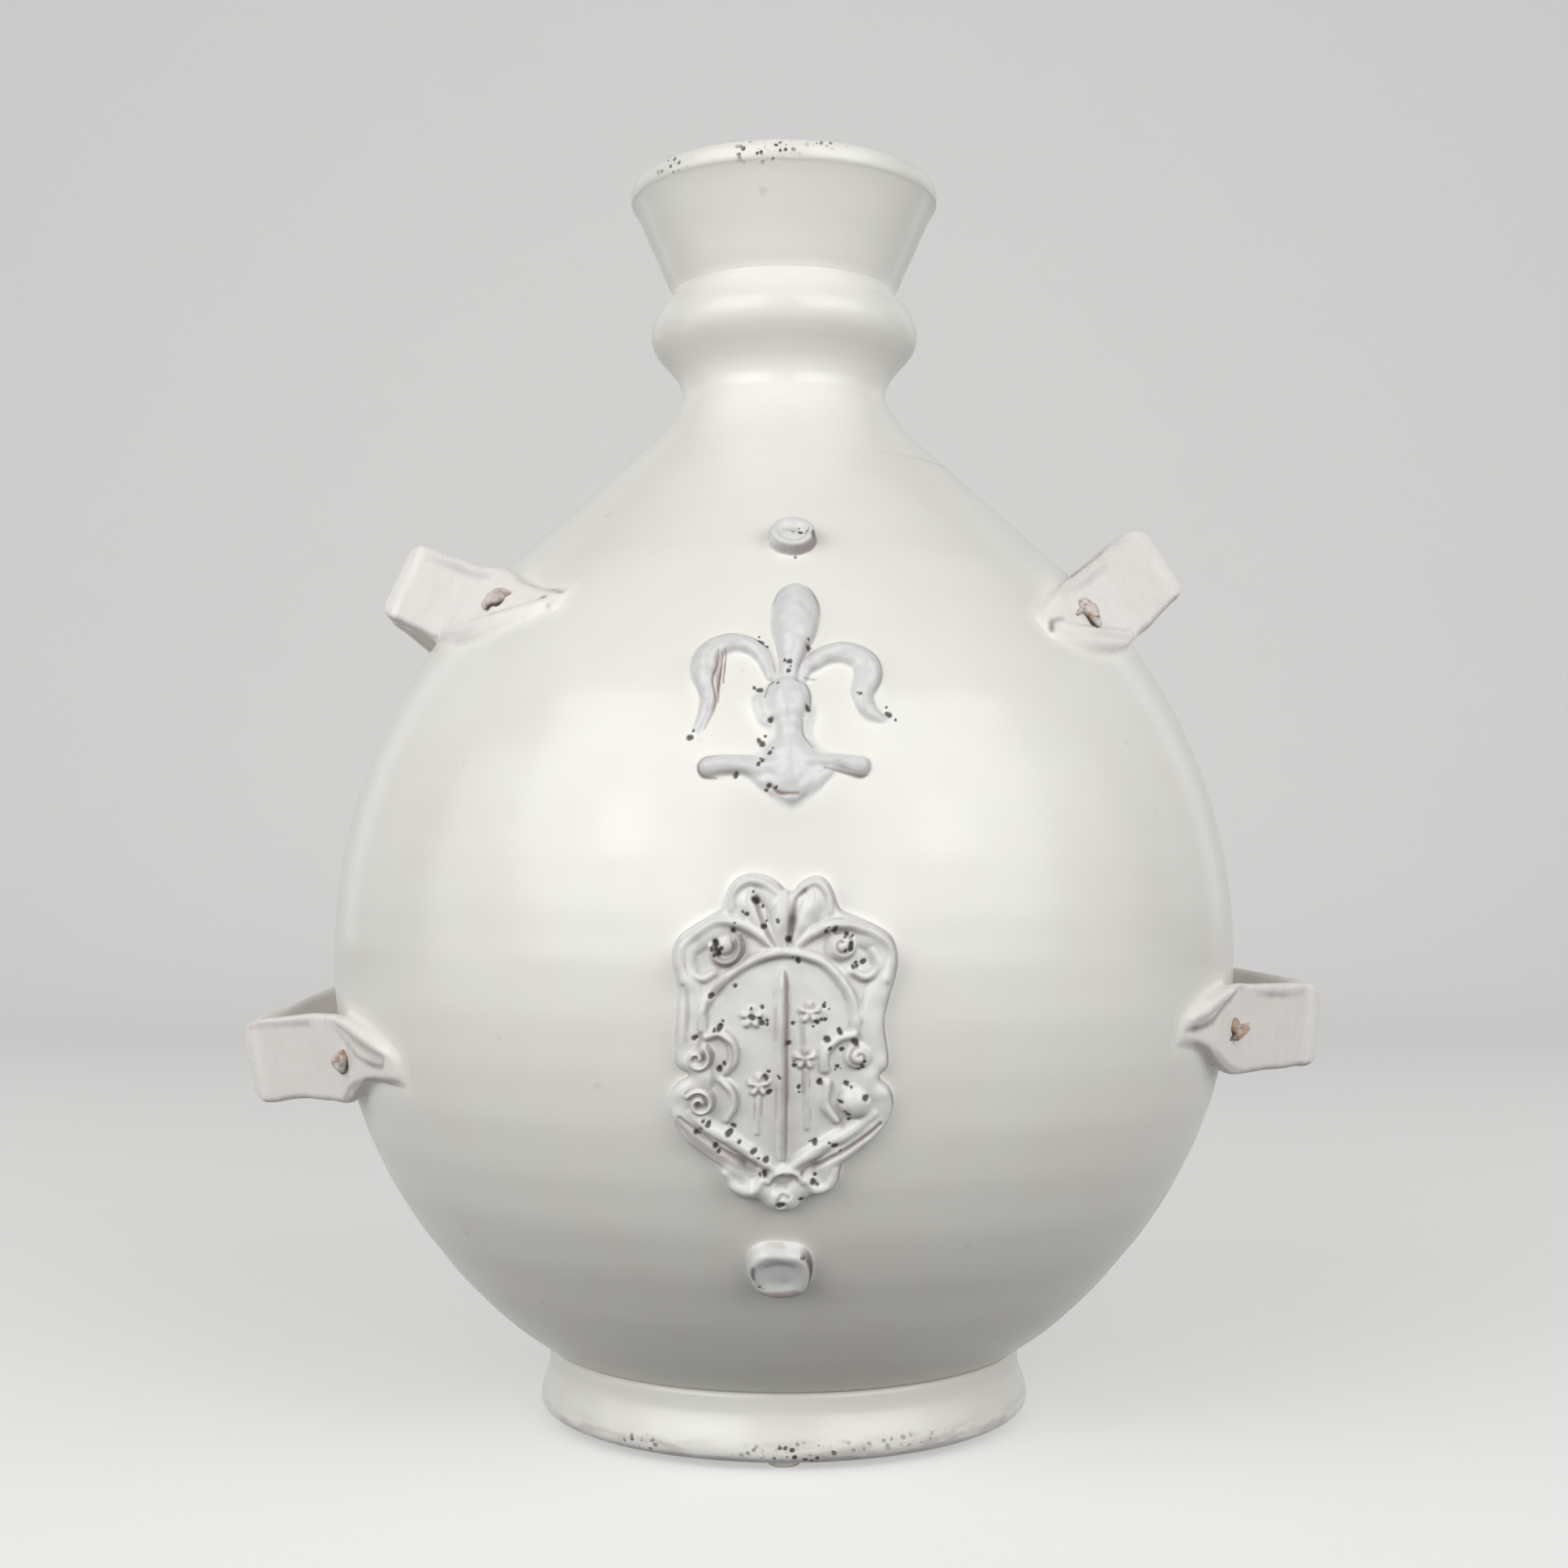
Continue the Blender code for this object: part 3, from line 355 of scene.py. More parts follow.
    def finish(self, softness, film=SKIRT_SOFT):
        """Melts the edges as the glaze does, lays the skirt and marks hollows, worn edges, painted shade on
        steep sides that face down and to the right, and halo.
        """
        shape = blurred(self.height, softness / GRID)
        clay = smooth(shape / 0.8 + 0.3)
        self.height = film * np.logaddexp(0.0, shape / film) - SKIRT_SINK
        fold = self.height - blurred(self.height, 1.2 / GRID)
        tight = self.height - blurred(self.height, 0.5 / GRID)
        up_slope, side_slope = np.gradient(self.height, GRID)
        slope = np.hypot(up_slope, side_slope)
        steep = np.clip((slope - 0.9) / 1.3, 0.0, 1.0)
        shaded_side = smooth(0.5 + 0.7 * (up_slope - side_slope) / (slope + 0.2))
        sharp = 0.3 * np.clip((fold - 0.16) / 0.4, 0.0, 1.0)
        everywhere = slice(None)
        # rub marks thin glaze on steep sides and sharp ridges, and adds painted shade on steep sides that
        # face down and to the right; edge is painted shade on those sides alone.
        self.add_mark("rub", everywhere, np.maximum(steep * (0.3 + 0.7 * shaded_side), sharp) * clay)
        self.add_mark("edge", everywhere, 0.7 * steep * shaded_side * clay)
        self.marks["hollow"] = np.clip((-fold - 0.04) / 0.3, 0.0, 1.0) * clay
        self.marks["line"] = np.clip((-tight - 0.05) / 0.12, 0.0, 1.0) * smooth(shape / 0.6)
        self.marks["tone"] = clay
        glow = blurred(clay, 1.8 / GRID)
        self.marks["halo"] = np.clip(1.6 * glow, 0.0, 1.0) * (1.0 - clay)

    def halo_at(self, across, along):
        """Halo at any places of the front wall."""
        column = np.clip((across - self.low[0]) / GRID, 0.0, self.across.shape[1] - 1.001)
        row = np.clip((along - self.low[1]) / GRID, 0.0, self.across.shape[0] - 1.001)
        c, r = column.astype(int), row.astype(int)
        x, y = column - c, row - r
        halo = self.marks["halo"]
        return ((halo[r, c] * (1 - x) + halo[r, c + 1] * x) * (1 - y)
                + (halo[r + 1, c] * (1 - x) + halo[r + 1, c + 1] * x) * y)

    def piece(self, name, finish, node, slot):
        """Closed mesh of the relief: front, hidden back in the wall and a rim between them."""
        faces, used = shell_faces(self.height > SKIRT_CUT)
        front = on_wall(self.across, self.along, self.height).reshape(-1, 3)
        back = on_wall(self.across, self.along, np.full(self.height.shape, -BACK_DEPTH)).reshape(-1, 3)
        none = np.zeros(len(back))
        marks = {mark: np.r_[values.ravel(), none][used] for mark, values in self.marks.items()}
        return add_piece(name, np.vstack([front, back])[used], faces, finish, node, marks)


def shell_faces(kept):
    """Faces of a closed shell over a grid's kept points, front, back and rim, and the points they use."""
    cells = whole_cells(kept[:-1, :-1] & kept[1:, :-1] & kept[:-1, 1:] & kept[1:, 1:])
    total = kept.size
    number = np.arange(total).reshape(kept.shape)
    r, c = np.nonzero(cells)
    quads = np.stack([number[r, c], number[r, c + 1], number[r + 1, c + 1], number[r + 1, c]], -1)
    edges = np.concatenate([quads[:, [k, (k + 1) % 4]] for k in range(4)])
    keys = edges[:, 0] * total + edges[:, 1]
    start, end = edges[~np.isin(keys, edges[:, 1] * total + edges[:, 0])].T
    rim = np.stack([end, start, start + total, end + total], -1)
    faces = np.vstack([quads, quads[:, ::-1] + total, rim])
    used, packed = np.unique(faces, return_inverse=True)
    return packed.reshape(faces.shape).tolist(), used


def whole_cells(cells):
    """Cells with corner contacts filled and lone specks dropped, so that the mesh stays one clean body."""
    cells = np.pad(cells, 1)
    for _ in range(3):
        crossed = ((cells[:-1, :-1] & cells[1:, 1:] & ~cells[1:, :-1] & ~cells[:-1, 1:])
                   | (~cells[:-1, :-1] & ~cells[1:, 1:] & cells[1:, :-1] & cells[:-1, 1:]))
        for rows, cols in ((slice(0, -1), slice(0, -1)), (slice(1, None), slice(1, None)),
                           (slice(1, None), slice(0, -1)), (slice(0, -1), slice(1, None))):
            cells[rows, cols] |= crossed
    middle = np.array(np.nonzero(cells)).T
    start = middle[np.argmin(np.abs(middle - middle.mean(0)).sum(1))]
    kept = np.zeros(cells.shape, bool)
    kept[tuple(start)] = True
    while True:
        grown = kept.copy()
        for _ in range(8):
            grown[1:] |= grown[:-1]
            grown[:-1] |= grown[1:]
            grown[:, 1:] |= grown[:, :-1]
            grown[:, :-1] |= grown[:, 1:]
            grown &= cells
        if (grown == kept).all():
            return kept[1:-1, 1:-1]
        kept = grown


def depth_inside(sketch, outline):
    """Distance inside a closed outline at every grid point of a sketch, and less than 0 outside it."""
    line = spline(list(outline) + [outline[0]], OUTLINE_STEP)[:-1]
    gap = np.full(sketch.across.shape, np.inf)
    inside = np.zeros(sketch.across.shape, bool)
    for start, end in zip(line, np.roll(line, -1, axis=0)):
        way = end - start
        place = ((sketch.across - start[0]) * way[0] + (sketch.along - start[1]) * way[1]) / (way @ way)
        place = np.clip(place, 0.0, 1.0)
        gap = np.minimum(gap, np.hypot(sketch.across - start[0] - place * way[0],
                                       sketch.along - start[1] - place * way[1]))
        if start[1] != end[1]:
            crossing = start[0] + (sketch.along - start[1]) * way[0] / way[1]
            inside ^= ((start[1] > sketch.along) != (end[1] > sketch.along)) & (sketch.across < crossing)
    return np.where(inside, gap, -gap)


def spiral(centre, radius, turns, start, width, height, shrink=0.78):
    """Points of a line that winds in from a volute's rim to its eye; negative turns wind clockwise."""
    steps = int(abs(turns) * 10) + 2
    share = np.arange(steps + 1) / steps
    angle = math.radians(start) + 2.0 * math.pi * turns * share
    reach = radius * (1.0 - shrink * share)
    return [(centre[0] + r * math.cos(a), centre[1] + r * math.sin(a), width, height)
            for r, a in zip(reach.tolist(), angle.tolist())]


# Crest: outline, then ropes and leaves of clay as across, along, radius and height, grooves, pits
CREST_OUTLINE = (
    (0.7, 19.0), (-1.5, 21.4), (-5.2, 23.3), (-9.5, 23.4), (-13.1, 21.4), (-15.0, 17.8), (-16.5, 14.6),
    (-22.3, 11.3), (-26.6, 8.4), (-28.6, 4.9), (-28.7, 1.3), (-27.8, -2.9), (-27.3, -6.5), (-27.8, -12.6),
    (-28.4, -17.5), (-28.5, -21.9), (-27.6, -25.0), (-24.5, -27.3), (-27.3, -29.2), (-29.4, -32.0),
    (-30.0, -35.9), (-29.1, -39.2), (-26.6, -43.8), (-22.3, -47.9), (-16.8, -52.0), (-15.6, -56.2),
    (-13.1, -60.2), (-9.5, -62.0), (-6.7, -61.6), (-4.5, -64.1), (-0.2, -65.5), (3.4, -64.2), (5.3, -61.6),
    (9.0, -59.8), (12.6, -58.4), (14.5, -55.5), (14.2, -52.4), (18.2, -48.9), (23.7, -44.1), (27.4, -39.2),
    (28.4, -34.6), (27.4, -30.8), (24.6, -27.7), (26.8, -25.0), (26.8, -20.7), (25.8, -13.8), (27.0, -7.7),
    (28.8, -1.7), (29.4, 3.7), (27.4, 8.4), (22.5, 11.3), (17.6, 13.4), (14.5, 14.9), (13.0, 17.8),
    (11.4, 21.4), (8.4, 23.1), (5.0, 21.7), (2.5, 19.3))
CREST_FLOOR = 1.7
CREST_EDGE = 1.3
CREST_RIM_INSET = 3.3
CREST_RIM_WIDTH = 3.3
CREST_RIM_HEIGHT = 1.9
CREST_ROPES = (
    ((-2.5, 6.5, 2.2, 3.4), (-6.5, 11.8, 3.0, 4.0), (-9.4, 16.0, 3.6, 4.4), (-9.0, 19.2, 3.0, 4.2)),
    ((-13.4, 14.6, 1.5, 4.2), (-12.6, 18.6, 1.7, 4.9), (-9.4, 21.3, 1.8, 5.2), (-5.2, 21.0, 1.7, 4.8),
     (-2.0, 18.6, 1.3, 4.0)),
    ((-0.4, 5.5, 1.8, 4.0), (-0.8, 10.5, 2.7, 4.9), (-0.6, 15.0, 2.8, 5.1), (0.2, 18.0, 1.7, 4.0)),
    ((2.8, 7.5, 2.0, 3.4), (5.2, 12.0, 3.0, 4.1), (7.6, 16.0, 3.4, 4.5), (7.6, 19.2, 2.8, 4.3)),
    ((11.6, 14.2, 1.5, 4.2), (11.2, 18.0, 1.6, 4.8), (8.6, 21.0, 1.7, 5.0), (5.2, 20.0, 1.4, 4.5),
     (3.2, 17.6, 1.2, 3.8)),
    ((-2.7, 5.7, 1.5, 3.6), (-7.6, 9.6, 1.9, 4.2), (-12.0, 11.4, 1.9, 4.7), (-17.0, 11.6, 1.9, 4.8),
     (-21.6, 9.0, 2.0, 4.8), (-25.4, 6.0, 2.0, 4.6), (-26.4, 1.8, 1.9, 4.4), (-25.4, -3.0, 1.8, 4.2)),
    ((3.4, 6.0, 1.5, 3.6), (7.1, 8.8, 1.9, 4.2), (11.4, 10.6, 1.9, 4.7), (16.8, 10.8, 1.9, 4.8),
     (22.2, 9.0, 2.0, 4.8), (26.2, 6.2, 2.0, 4.6), (27.2, 2.4, 1.9, 4.4), (26.0, -2.6, 1.8, 4.2)),
    ((-15.0, 5.8, 2.6, 4.6), (-14.6, 6.2, 2.6, 4.6)),
    spiral((-14.8, 5.4), 3.9, -0.62, 40.0, 1.05, 5.3, 0.1),
    ((14.4, 5.8, 4.2, 5.3), (14.8, 6.1, 4.2, 5.3)),
    ((-24.0, 3.0, 1.5, 3.6), (-23.6, -0.5, 1.5, 3.8), (-20.6, -2.3, 1.5, 3.6), (-17.6, -0.8, 1.3, 3.2)),
    ((22.6, 4.6, 1.5, 3.6), (23.6, 0.6, 1.5, 3.8), (20.8, -1.8, 1.5, 3.6), (17.4, -0.4, 1.3, 3.2)),
    ((-20.5, -15.1, 1.6, 3.4), (-20.2, -9.5, 1.7, 3.6), (-16.8, -4.1, 1.7, 3.6), (-11.9, 0.1, 1.7, 3.6),
     (-5.8, 3.1, 1.7, 3.8), (-0.2, 4.3, 1.7, 3.9), (4.7, 3.7, 1.7, 3.8), (9.6, 2.0, 1.7, 3.6),
     (13.8, -1.7, 1.7, 3.6), (16.9, -6.5, 1.7, 3.6), (18.2, -12.0, 1.7, 3.5), (18.2, -15.1, 1.5, 3.3)),
    ((-19.6, -16.9, 1.5, 3.8), (-16.4, -16.0, 1.6, 4.0), (-13.1, -18.8, 1.6, 4.0), (-12.8, -23.2, 1.6, 4.0),
     (-14.8, -26.0, 1.5, 3.6)),
    spiral((-21.8, -22.4), 3.3, -1.2, 60.0, 1.0, 5.0),
    spiral((-21.2, -34.0), 3.7, -1.35, 150.0, 1.05, 5.2),
    ((-16.2, -27.8, 1.4, 3.6), (-13.4, -30.8, 1.6, 4.0), (-12.9, -34.8, 1.6, 4.0), (-14.6, -38.4, 1.5, 3.6)),
    ((17.6, -16.3, 1.5, 3.8), (13.6, -17.4, 1.6, 4.0), (10.6, -20.7, 1.6, 4.0), (10.4, -25.2, 1.5, 3.6)),
    ((18.6, -21.8, 3.8, 5.3), (19.0, -22.0, 3.8, 5.3)),
    ((18.0, -33.8, 4.6, 5.6), (18.4, -34.2, 4.6, 5.6)),
    ((11.0, -28.8, 1.5, 3.8), (10.6, -34.2, 1.7, 4.0), (13.3, -38.5, 1.6, 3.8)),
    ((-24.0, -36.8, 1.9, 3.6), (-19.5, -40.6, 2.3, 3.9), (-13.6, -44.0, 2.4, 4.0), (-7.6, -48.2, 2.3, 4.0),
     (-2.5, -52.2, 2.0, 3.8)),
    ((23.0, -36.8, 1.9, 3.6), (17.8, -41.2, 2.3, 3.9), (12.0, -44.6, 2.4, 4.0), (5.5, -48.8, 2.3, 4.0),
     (0.6, -52.8, 2.0, 3.8)),
    ((-15.0, -53.0, 1.8, 4.0), (-12.0, -57.2, 2.4, 4.6), (-8.0, -58.4, 2.4, 4.6), (-5.4, -55.2, 1.6, 4.0)),
    ((13.2, -52.2, 1.6, 3.8), (11.6, -56.2, 2.1, 4.3), (8.0, -57.8, 2.2, 4.4), (5.6, -55.0, 1.5, 3.9)),
    ((-3.9, -55.8, 1.3, 3.8), (-2.6, -53.4, 1.4, 4.2), (0.4, -52.2, 1.4, 4.4), (3.6, -53.4, 1.4, 4.2),
     (4.7, -55.8, 1.3, 3.8)),
    ((-0.9, -60.4, 3.8, 5.8), (-0.5, -60.8, 3.8, 5.8)),
    ((-0.4, 0.8, 0.5, 2.2), (-0.4, -2.6, 1.5, 3.8), (-0.5, -8.0, 1.7, 4.3), (-0.5, -20.0, 1.6, 4.3),
     (-0.4, -34.0, 1.5, 4.2), (-0.4, -49.0, 1.3, 3.9)),
    ((-6.5, -32.5, 0.7, 2.7), (-6.8, -42.4, 0.7, 2.7)),
    ((5.5, -25.5, 0.7, 2.7), (5.9, -41.0, 0.7, 2.7)))
CREST_BLOSSOMS = ((-8.2, -12.0), (-6.4, -29.5), (6.5, -10.7), (5.3, -22.5))
BLOSSOM_REACH = 2.1
CREST_GROOVES = (
    ((-7.0, 17.6, 0.7, 0.9), (-5.2, 11.4, 0.8, 1.1), (-2.4, 5.8, 0.6, 0.8)),
    ((5.2, 19.0, 0.6, 0.8), (2.9, 16.8, 0.7, 1.0), (2.2, 11.4, 0.7, 1.1), (1.6, 7.0, 0.6, 0.8)),
    ((-26.6, -37.9, 0.6, 0.8), (-19.3, -43.9, 0.7, 1.0), (-13.8, -47.9, 0.7, 1.0), (-7.0, -52.0, 0.6, 0.9)),
    ((24.6, -39.6, 0.6, 0.8), (18.0, -45.0, 0.7, 1.0), (11.0, -49.4, 0.7, 1.0), (4.7, -53.2, 0.6, 0.9)),
    ((-1.6, -60.0, 0.6, 0.8), (-0.4, -58.6, 0.6, 0.9), (1.2, -59.4, 0.5, 0.7)),
    spiral((14.6, 6.0), 3.3, -1.1, 120.0, 0.5, 0.8),
    spiral((18.8, -21.9), 2.8, 1.1, 90.0, 0.5, 0.8))
CREST_STAINS = (
    ((0.4, -1.0, 0.9, 1.0), (0.4, -12.0, 1.2, 1.0), (0.2, -24.0, 1.2, 1.0), (0.0, -38.0, 1.2, 0.9),
     (0.0, -48.0, 1.0, 0.6)),
    ((-26.8, -38.6, 1.2, 0.9), (-20.5, -45.0, 1.5, 1.0), (-13.8, -49.2, 1.5, 1.0), (-8.0, -52.6, 1.2, 0.8)),
    ((-24.6, -5.0, 0.8, 0.7), (-24.3, -11.0, 0.9, 0.9), (-24.8, -17.5, 0.8, 0.6)),
    spiral((-14.8, 5.4), 3.9, -0.55, 40.0, 0.8, 1.0, 0.1),
    ((-19.8, -11.0, 0.6, 0.7), (-18.4, -6.0, 0.7, 0.9), (-14.6, -1.6, 0.6, 0.7)),
    ((-16.8, -16.4, 0.6, 0.8), (-13.2, -19.0, 0.7, 0.9), (-13.0, -23.2, 0.7, 0.9), (-14.8, -25.8, 0.6, 0.7)),
    ((4.6, -14.5, 1.0, 0.8), (5.2, -24.0, 1.1, 0.9), (5.0, -31.0, 0.8, 0.7)))
CREST_PITS = (
    (-7.0, 16.7, 0.6), (-9.1, 13.4, 0.4), (-5.2, 10.5, 0.5), (-1.5, 11.6, 0.4), (1.1, 7.5, 0.6),
    (-12.8, 9.7, 0.5), (-17.1, 6.3, 0.6), (-18.1, 4.9, 0.4), (-16.5, 4.0, 0.5), (10.5, 9.3, 0.4),
    (12.6, 9.6, 0.5), (15.7, 8.7, 0.4), (16.6, 5.2, 0.6), (17.6, 0.7, 0.4), (20.0, 1.9, 0.5), (3.7, 2.2, 0.5),
    (-12.5, -4.1, 0.4), (-18.4, -6.5, 0.6), (-5.5, -9.5, 0.4), (-7.9, -12.0, 0.6), (-5.5, -13.5, 0.5),
    (10.2, -9.2, 0.4), (8.4, -13.2, 0.5), (10.5, -12.6, 0.4), (-16.5, -14.8, 0.6), (-22.7, -17.2, 0.5),
    (10.8, -17.6, 0.6), (14.2, -15.7, 0.5), (18.2, -18.4, 0.6), (14.5, -20.3, 0.4), (19.7, -24.4, 0.5),
    (13.6, -24.7, 0.4), (-16.5, -25.4, 0.6), (2.5, -24.4, 0.4), (1.0, -18.5, 0.5), (2.2, -13.5, 0.4),
    (16.0, -29.2, 0.5), (20.6, -32.4, 0.6), (14.2, -33.6, 0.4), (16.3, -36.9, 0.5), (-4.5, -27.6, 0.5),
    (-1.2, -27.1, 0.4), (-3.9, -31.4, 0.5), (3.7, -30.1, 0.4), (-19.3, -39.8, 0.5), (-14.1, -42.1, 0.6),
    (-7.9, -46.9, 0.5), (-11.3, -44.2, 0.4), (-4.5, -49.3, 0.6), (7.7, -44.8, 0.5), (12.6, -45.2, 0.6),
    (-4.9, -53.8, 0.5), (-1.2, -61.3, 0.7), (4.4, -60.6, 0.5), (7.4, -55.5, 0.6), (-17.4, -45.5, 0.5),
    (-22.3, -41.8, 0.4), (9.0, -28.8, 0.6))

# Lily: its thicker film of glaze, ropes of its four pieces, then creases and pits
LILY_SLOPE = 0.38
LILY_FILM = 0.5
PETAL_CENTRE = (((3.2, 104.5, 4.8, 3.8), (3.2, 98.5, 6.5, 4.6), (2.9, 92.5, 6.1, 4.6), (2.4, 87.0, 4.5, 4.1),
                 (1.8, 82.0, 3.1, 3.5), (1.2, 77.5, 2.6, 2.6)),)
PETAL_LEFT = (((-3.4, 77.0, 1.5, 1.6), (-4.9, 82.1, 2.2, 2.3), (-6.8, 85.2, 2.6, 2.6), (-9.9, 87.4, 2.7, 2.7),
               (-14.2, 88.2, 3.0, 2.9), (-18.0, 86.6, 3.4, 3.1), (-20.6, 83.2, 4.0, 3.3),
               (-21.0, 79.0, 4.2, 3.4), (-20.2, 74.8, 3.3, 3.0), (-19.8, 70.8, 2.6, 2.4),
               (-21.1, 66.0, 1.9, 1.7), (-23.4, 61.6, 1.0, 0.8)),)
PETAL_RIGHT = (((4.6, 76.0, 1.5, 1.6), (5.6, 79.5, 2.2, 2.2), (8.2, 81.9, 2.7, 2.6), (11.9, 84.2, 3.0, 2.8),
                (16.1, 85.0, 3.3, 2.9), (20.0, 83.6, 3.6, 3.2), (22.4, 80.6, 3.8, 3.3),
                (22.6, 77.0, 3.7, 3.2), (21.2, 73.4, 3.3, 2.9), (21.2, 70.2, 2.9, 2.5),
                (23.0, 66.8, 2.2, 1.9), (26.4, 64.8, 1.2, 1.0)),)
LILY_STEM = (((0.9, 71.0, 6.2, 4.4), (0.9, 68.6, 6.0, 4.4)),
             ((-6.2, 69.4, 2.6, 1.2), (-4.4, 65.0, 2.8, 1.6)),
             ((7.0, 66.0, 1.6, 0.7), (5.6, 60.0, 1.8, 0.8)),
             ((0.9, 67.0, 4.2, 3.6), (1.2, 61.5, 3.6, 3.3), (1.6, 55.5, 4.6, 3.6)),
             ((-19.9, 51.2, 2.9, 2.8), (-16.2, 51.8, 2.7, 2.8), (-10.9, 51.8, 2.6, 2.7),
              (-5.6, 51.0, 2.7, 2.9), (0.5, 51.2, 2.8, 3.2), (5.0, 52.3, 2.6, 2.9), (10.4, 53.1, 1.8, 2.2),
              (15.7, 52.6, 2.1, 2.3), (20.2, 51.5, 2.8, 2.8)),
             ((-7.5, 50.2, 2.4, 1.6), (-3.0, 46.6, 2.8, 2.0), (1.2, 43.6, 2.0, 1.6)),
             ((11.0, 50.6, 2.4, 1.6), (7.0, 47.2, 2.8, 2.0), (2.8, 43.8, 2.0, 1.6)),
             ((1.7, 52.6, 7.6, 4.2), (1.9, 48.2, 6.0, 4.0), (2.1, 43.8, 2.6, 2.6)))
LEFT_CREASES = (((-17.4, 84.6, 0.3, 0.5), (-18.0, 79.5, 0.4, 0.7), (-18.9, 75.2, 0.4, 0.8),
                 (-18.2, 71.0, 0.4, 0.7), (-18.6, 67.6, 0.35, 0.6), (-21.2, 62.0, 0.3, 0.4)),
                ((-16.4, 84.4, 0.3, 0.4), (-16.9, 79.5, 0.35, 0.6), (-17.4, 74.0, 0.35, 0.6),
                 (-17.6, 69.6, 0.3, 0.5)),
                ((-15.6, 85.4, 0.25, 0.3), (-16.0, 80.0, 0.3, 0.4), (-16.3, 75.4, 0.25, 0.3)))
STEM_CREASES = (((-3.4, 45.8, 0.5, 0.5), (-0.8, 43.9, 0.6, 0.7), (3.5, 43.7, 0.5, 0.5)),)
CENTRE_PITS = ((7.3, 85.5, 0.7), (1.6, 80.5, 0.5), (1.1, 77.9, 0.4))
LEFT_PITS = ((-6.1, 88.1, 0.6), (-4.7, 86.7, 0.4), (-25.2, 59.6, 0.65))
RIGHT_PITS = ((28.3, 66.2, 0.65), (20.2, 71.2, 0.3))
STEM_PITS = ((-3.4, 75.1, 0.65), (-6.2, 73.2, 0.6), (3.9, 75.7, 0.6), (6.3, 67.2, 0.6), (-3.5, 64.0, 0.6),
             (-5.7, 57.6, 0.7), (-6.5, 58.4, 0.5), (-6.6, 51.2, 0.4), (-5.6, 52.3, 0.4), (-3.7, 54.5, 0.5),
             (-12.7, 48.8, 0.5), (-3.9, 45.8, 0.5))

# Darker lines of the lily, partly thin glaze and partly painted shade: along the upper edges of its petals,
# round the bar's left end and under its right
CENTRE_EDGES = (((-2.9, 101.5, 0.5, 0.4), (-1.2, 106.2, 0.5, 0.6), (3.0, 109.1, 0.5, 0.8),
                 (6.7, 107.2, 0.55, 0.9), (9.1, 102.4, 0.6, 0.8), (9.6, 97.6, 0.5, 0.4)),)
LEFT_EDGES = (((-5.6, 87.6, 0.5, 0.7), (-9.9, 90.0, 0.5, 0.8), (-14.2, 91.1, 0.5, 0.8),
               (-19.2, 89.4, 0.5, 0.7), (-23.2, 85.4, 0.5, 0.4)),)
RIGHT_EDGES = (((7.2, 83.9, 0.5, 0.4), (11.7, 86.8, 0.5, 0.7), (16.1, 88.1, 0.5, 0.8),
                (21.8, 86.4, 0.55, 0.9), (25.5, 82.4, 0.6, 0.9), (26.2, 77.2, 0.5, 0.6),
                (24.4, 72.6, 0.4, 0.3)),
               ((5.6, 76.4, 0.4, 0.7), (8.6, 76.6, 0.4, 0.5)))
STEM_EDGES = (((10.5, 50.8, 0.4, 0.7), (14.9, 50.1, 0.55, 1.0), (19.9, 48.7, 0.55, 1.0),
               (21.8, 49.2, 0.4, 0.7)),
              ((-17.4, 54.0, 0.4, 0.5), (-20.6, 53.6, 0.45, 0.9), (-22.5, 51.4, 0.5, 1.0),
               (-21.4, 48.8, 0.5, 1.0), (-17.8, 48.3, 0.45, 0.6)),
              ((-5.0, 70.6, 0.4, 0.7), (-3.0, 75.0, 0.4, 0.6), (3.8, 76.2, 0.5, 0.9), (6.6, 72.6, 0.5, 0.9),
               (6.9, 68.0, 0.45, 0.8)),
              ((4.7, 64.0, 0.4, 0.6), (5.0, 59.6, 0.4, 0.8), (7.4, 56.2, 0.4, 0.5)))
# Each piece's name, node, ropes, edges, creases, pits and seed
LILY = (("petal_centre", "lily_petal_centre", PETAL_CENTRE, CENTRE_EDGES, (), CENTRE_PITS, 50),
        ("petal_left", "lily_petal_left", PETAL_LEFT, LEFT_EDGES, LEFT_CREASES, LEFT_PITS, 55),
        ("petal_right", "lily_petal_right", PETAL_RIGHT, RIGHT_EDGES, (), RIGHT_PITS, 60),
        ("stem_and_bar", "lily_stem", LILY_STEM, STEM_EDGES, STEM_CREASES, STEM_PITS, 65))

# Studs: place, radius, how square, height, lean of the face, where the rim ends inwards, depth of the dish,
# then marks and pits in the stud's own coordinates
# On the top stud the grey along its lower rim is painted shade; on the bottom stud the dark lines along its
# right and lower rim and the grey inside the top of its dish are painted shade.
BUTTON_TOP = dict(
    across=2.4, along=128.5, radius=6.6, square=2.0, height=4.7, lean=0.15, rim=0.80, dish=1.2,
    stains=(("edge", 0.85, ((-6.4, -0.4, 0.45, 0.6), (-5.4, 3.3, 0.5, 0.9), (-3.2, 5.5, 0.5, 0.9),
                            (-0.6, 6.3, 0.5, 0.9), (2.4, 5.9, 0.5, 0.9), (5.2, 3.4, 0.5, 0.8),
                            (6.1, 0.6, 0.5, 0.7))),
            ("pit", 0.8, ((5.6, -0.4, 0.6, 1.0), (5.5, -1.7, 0.7, 1.0))),
            ("crease", 0.3, ((-2.2, 0.8, 0.9, 1.0), (0.8, 1.0, 0.9, 1.0))),
            ("rub", 0.9, ((-4.6, -4.6, 1.0, 0.8), (0.0, -6.2, 1.1, 1.0), (4.6, -4.4, 1.0, 0.8)))),
    pits=((2.3, 0.0, 0.45), (0.2, 0.2, 0.2), (3.9, -0.1, 0.25), (0.8, -7.4, 0.3)))
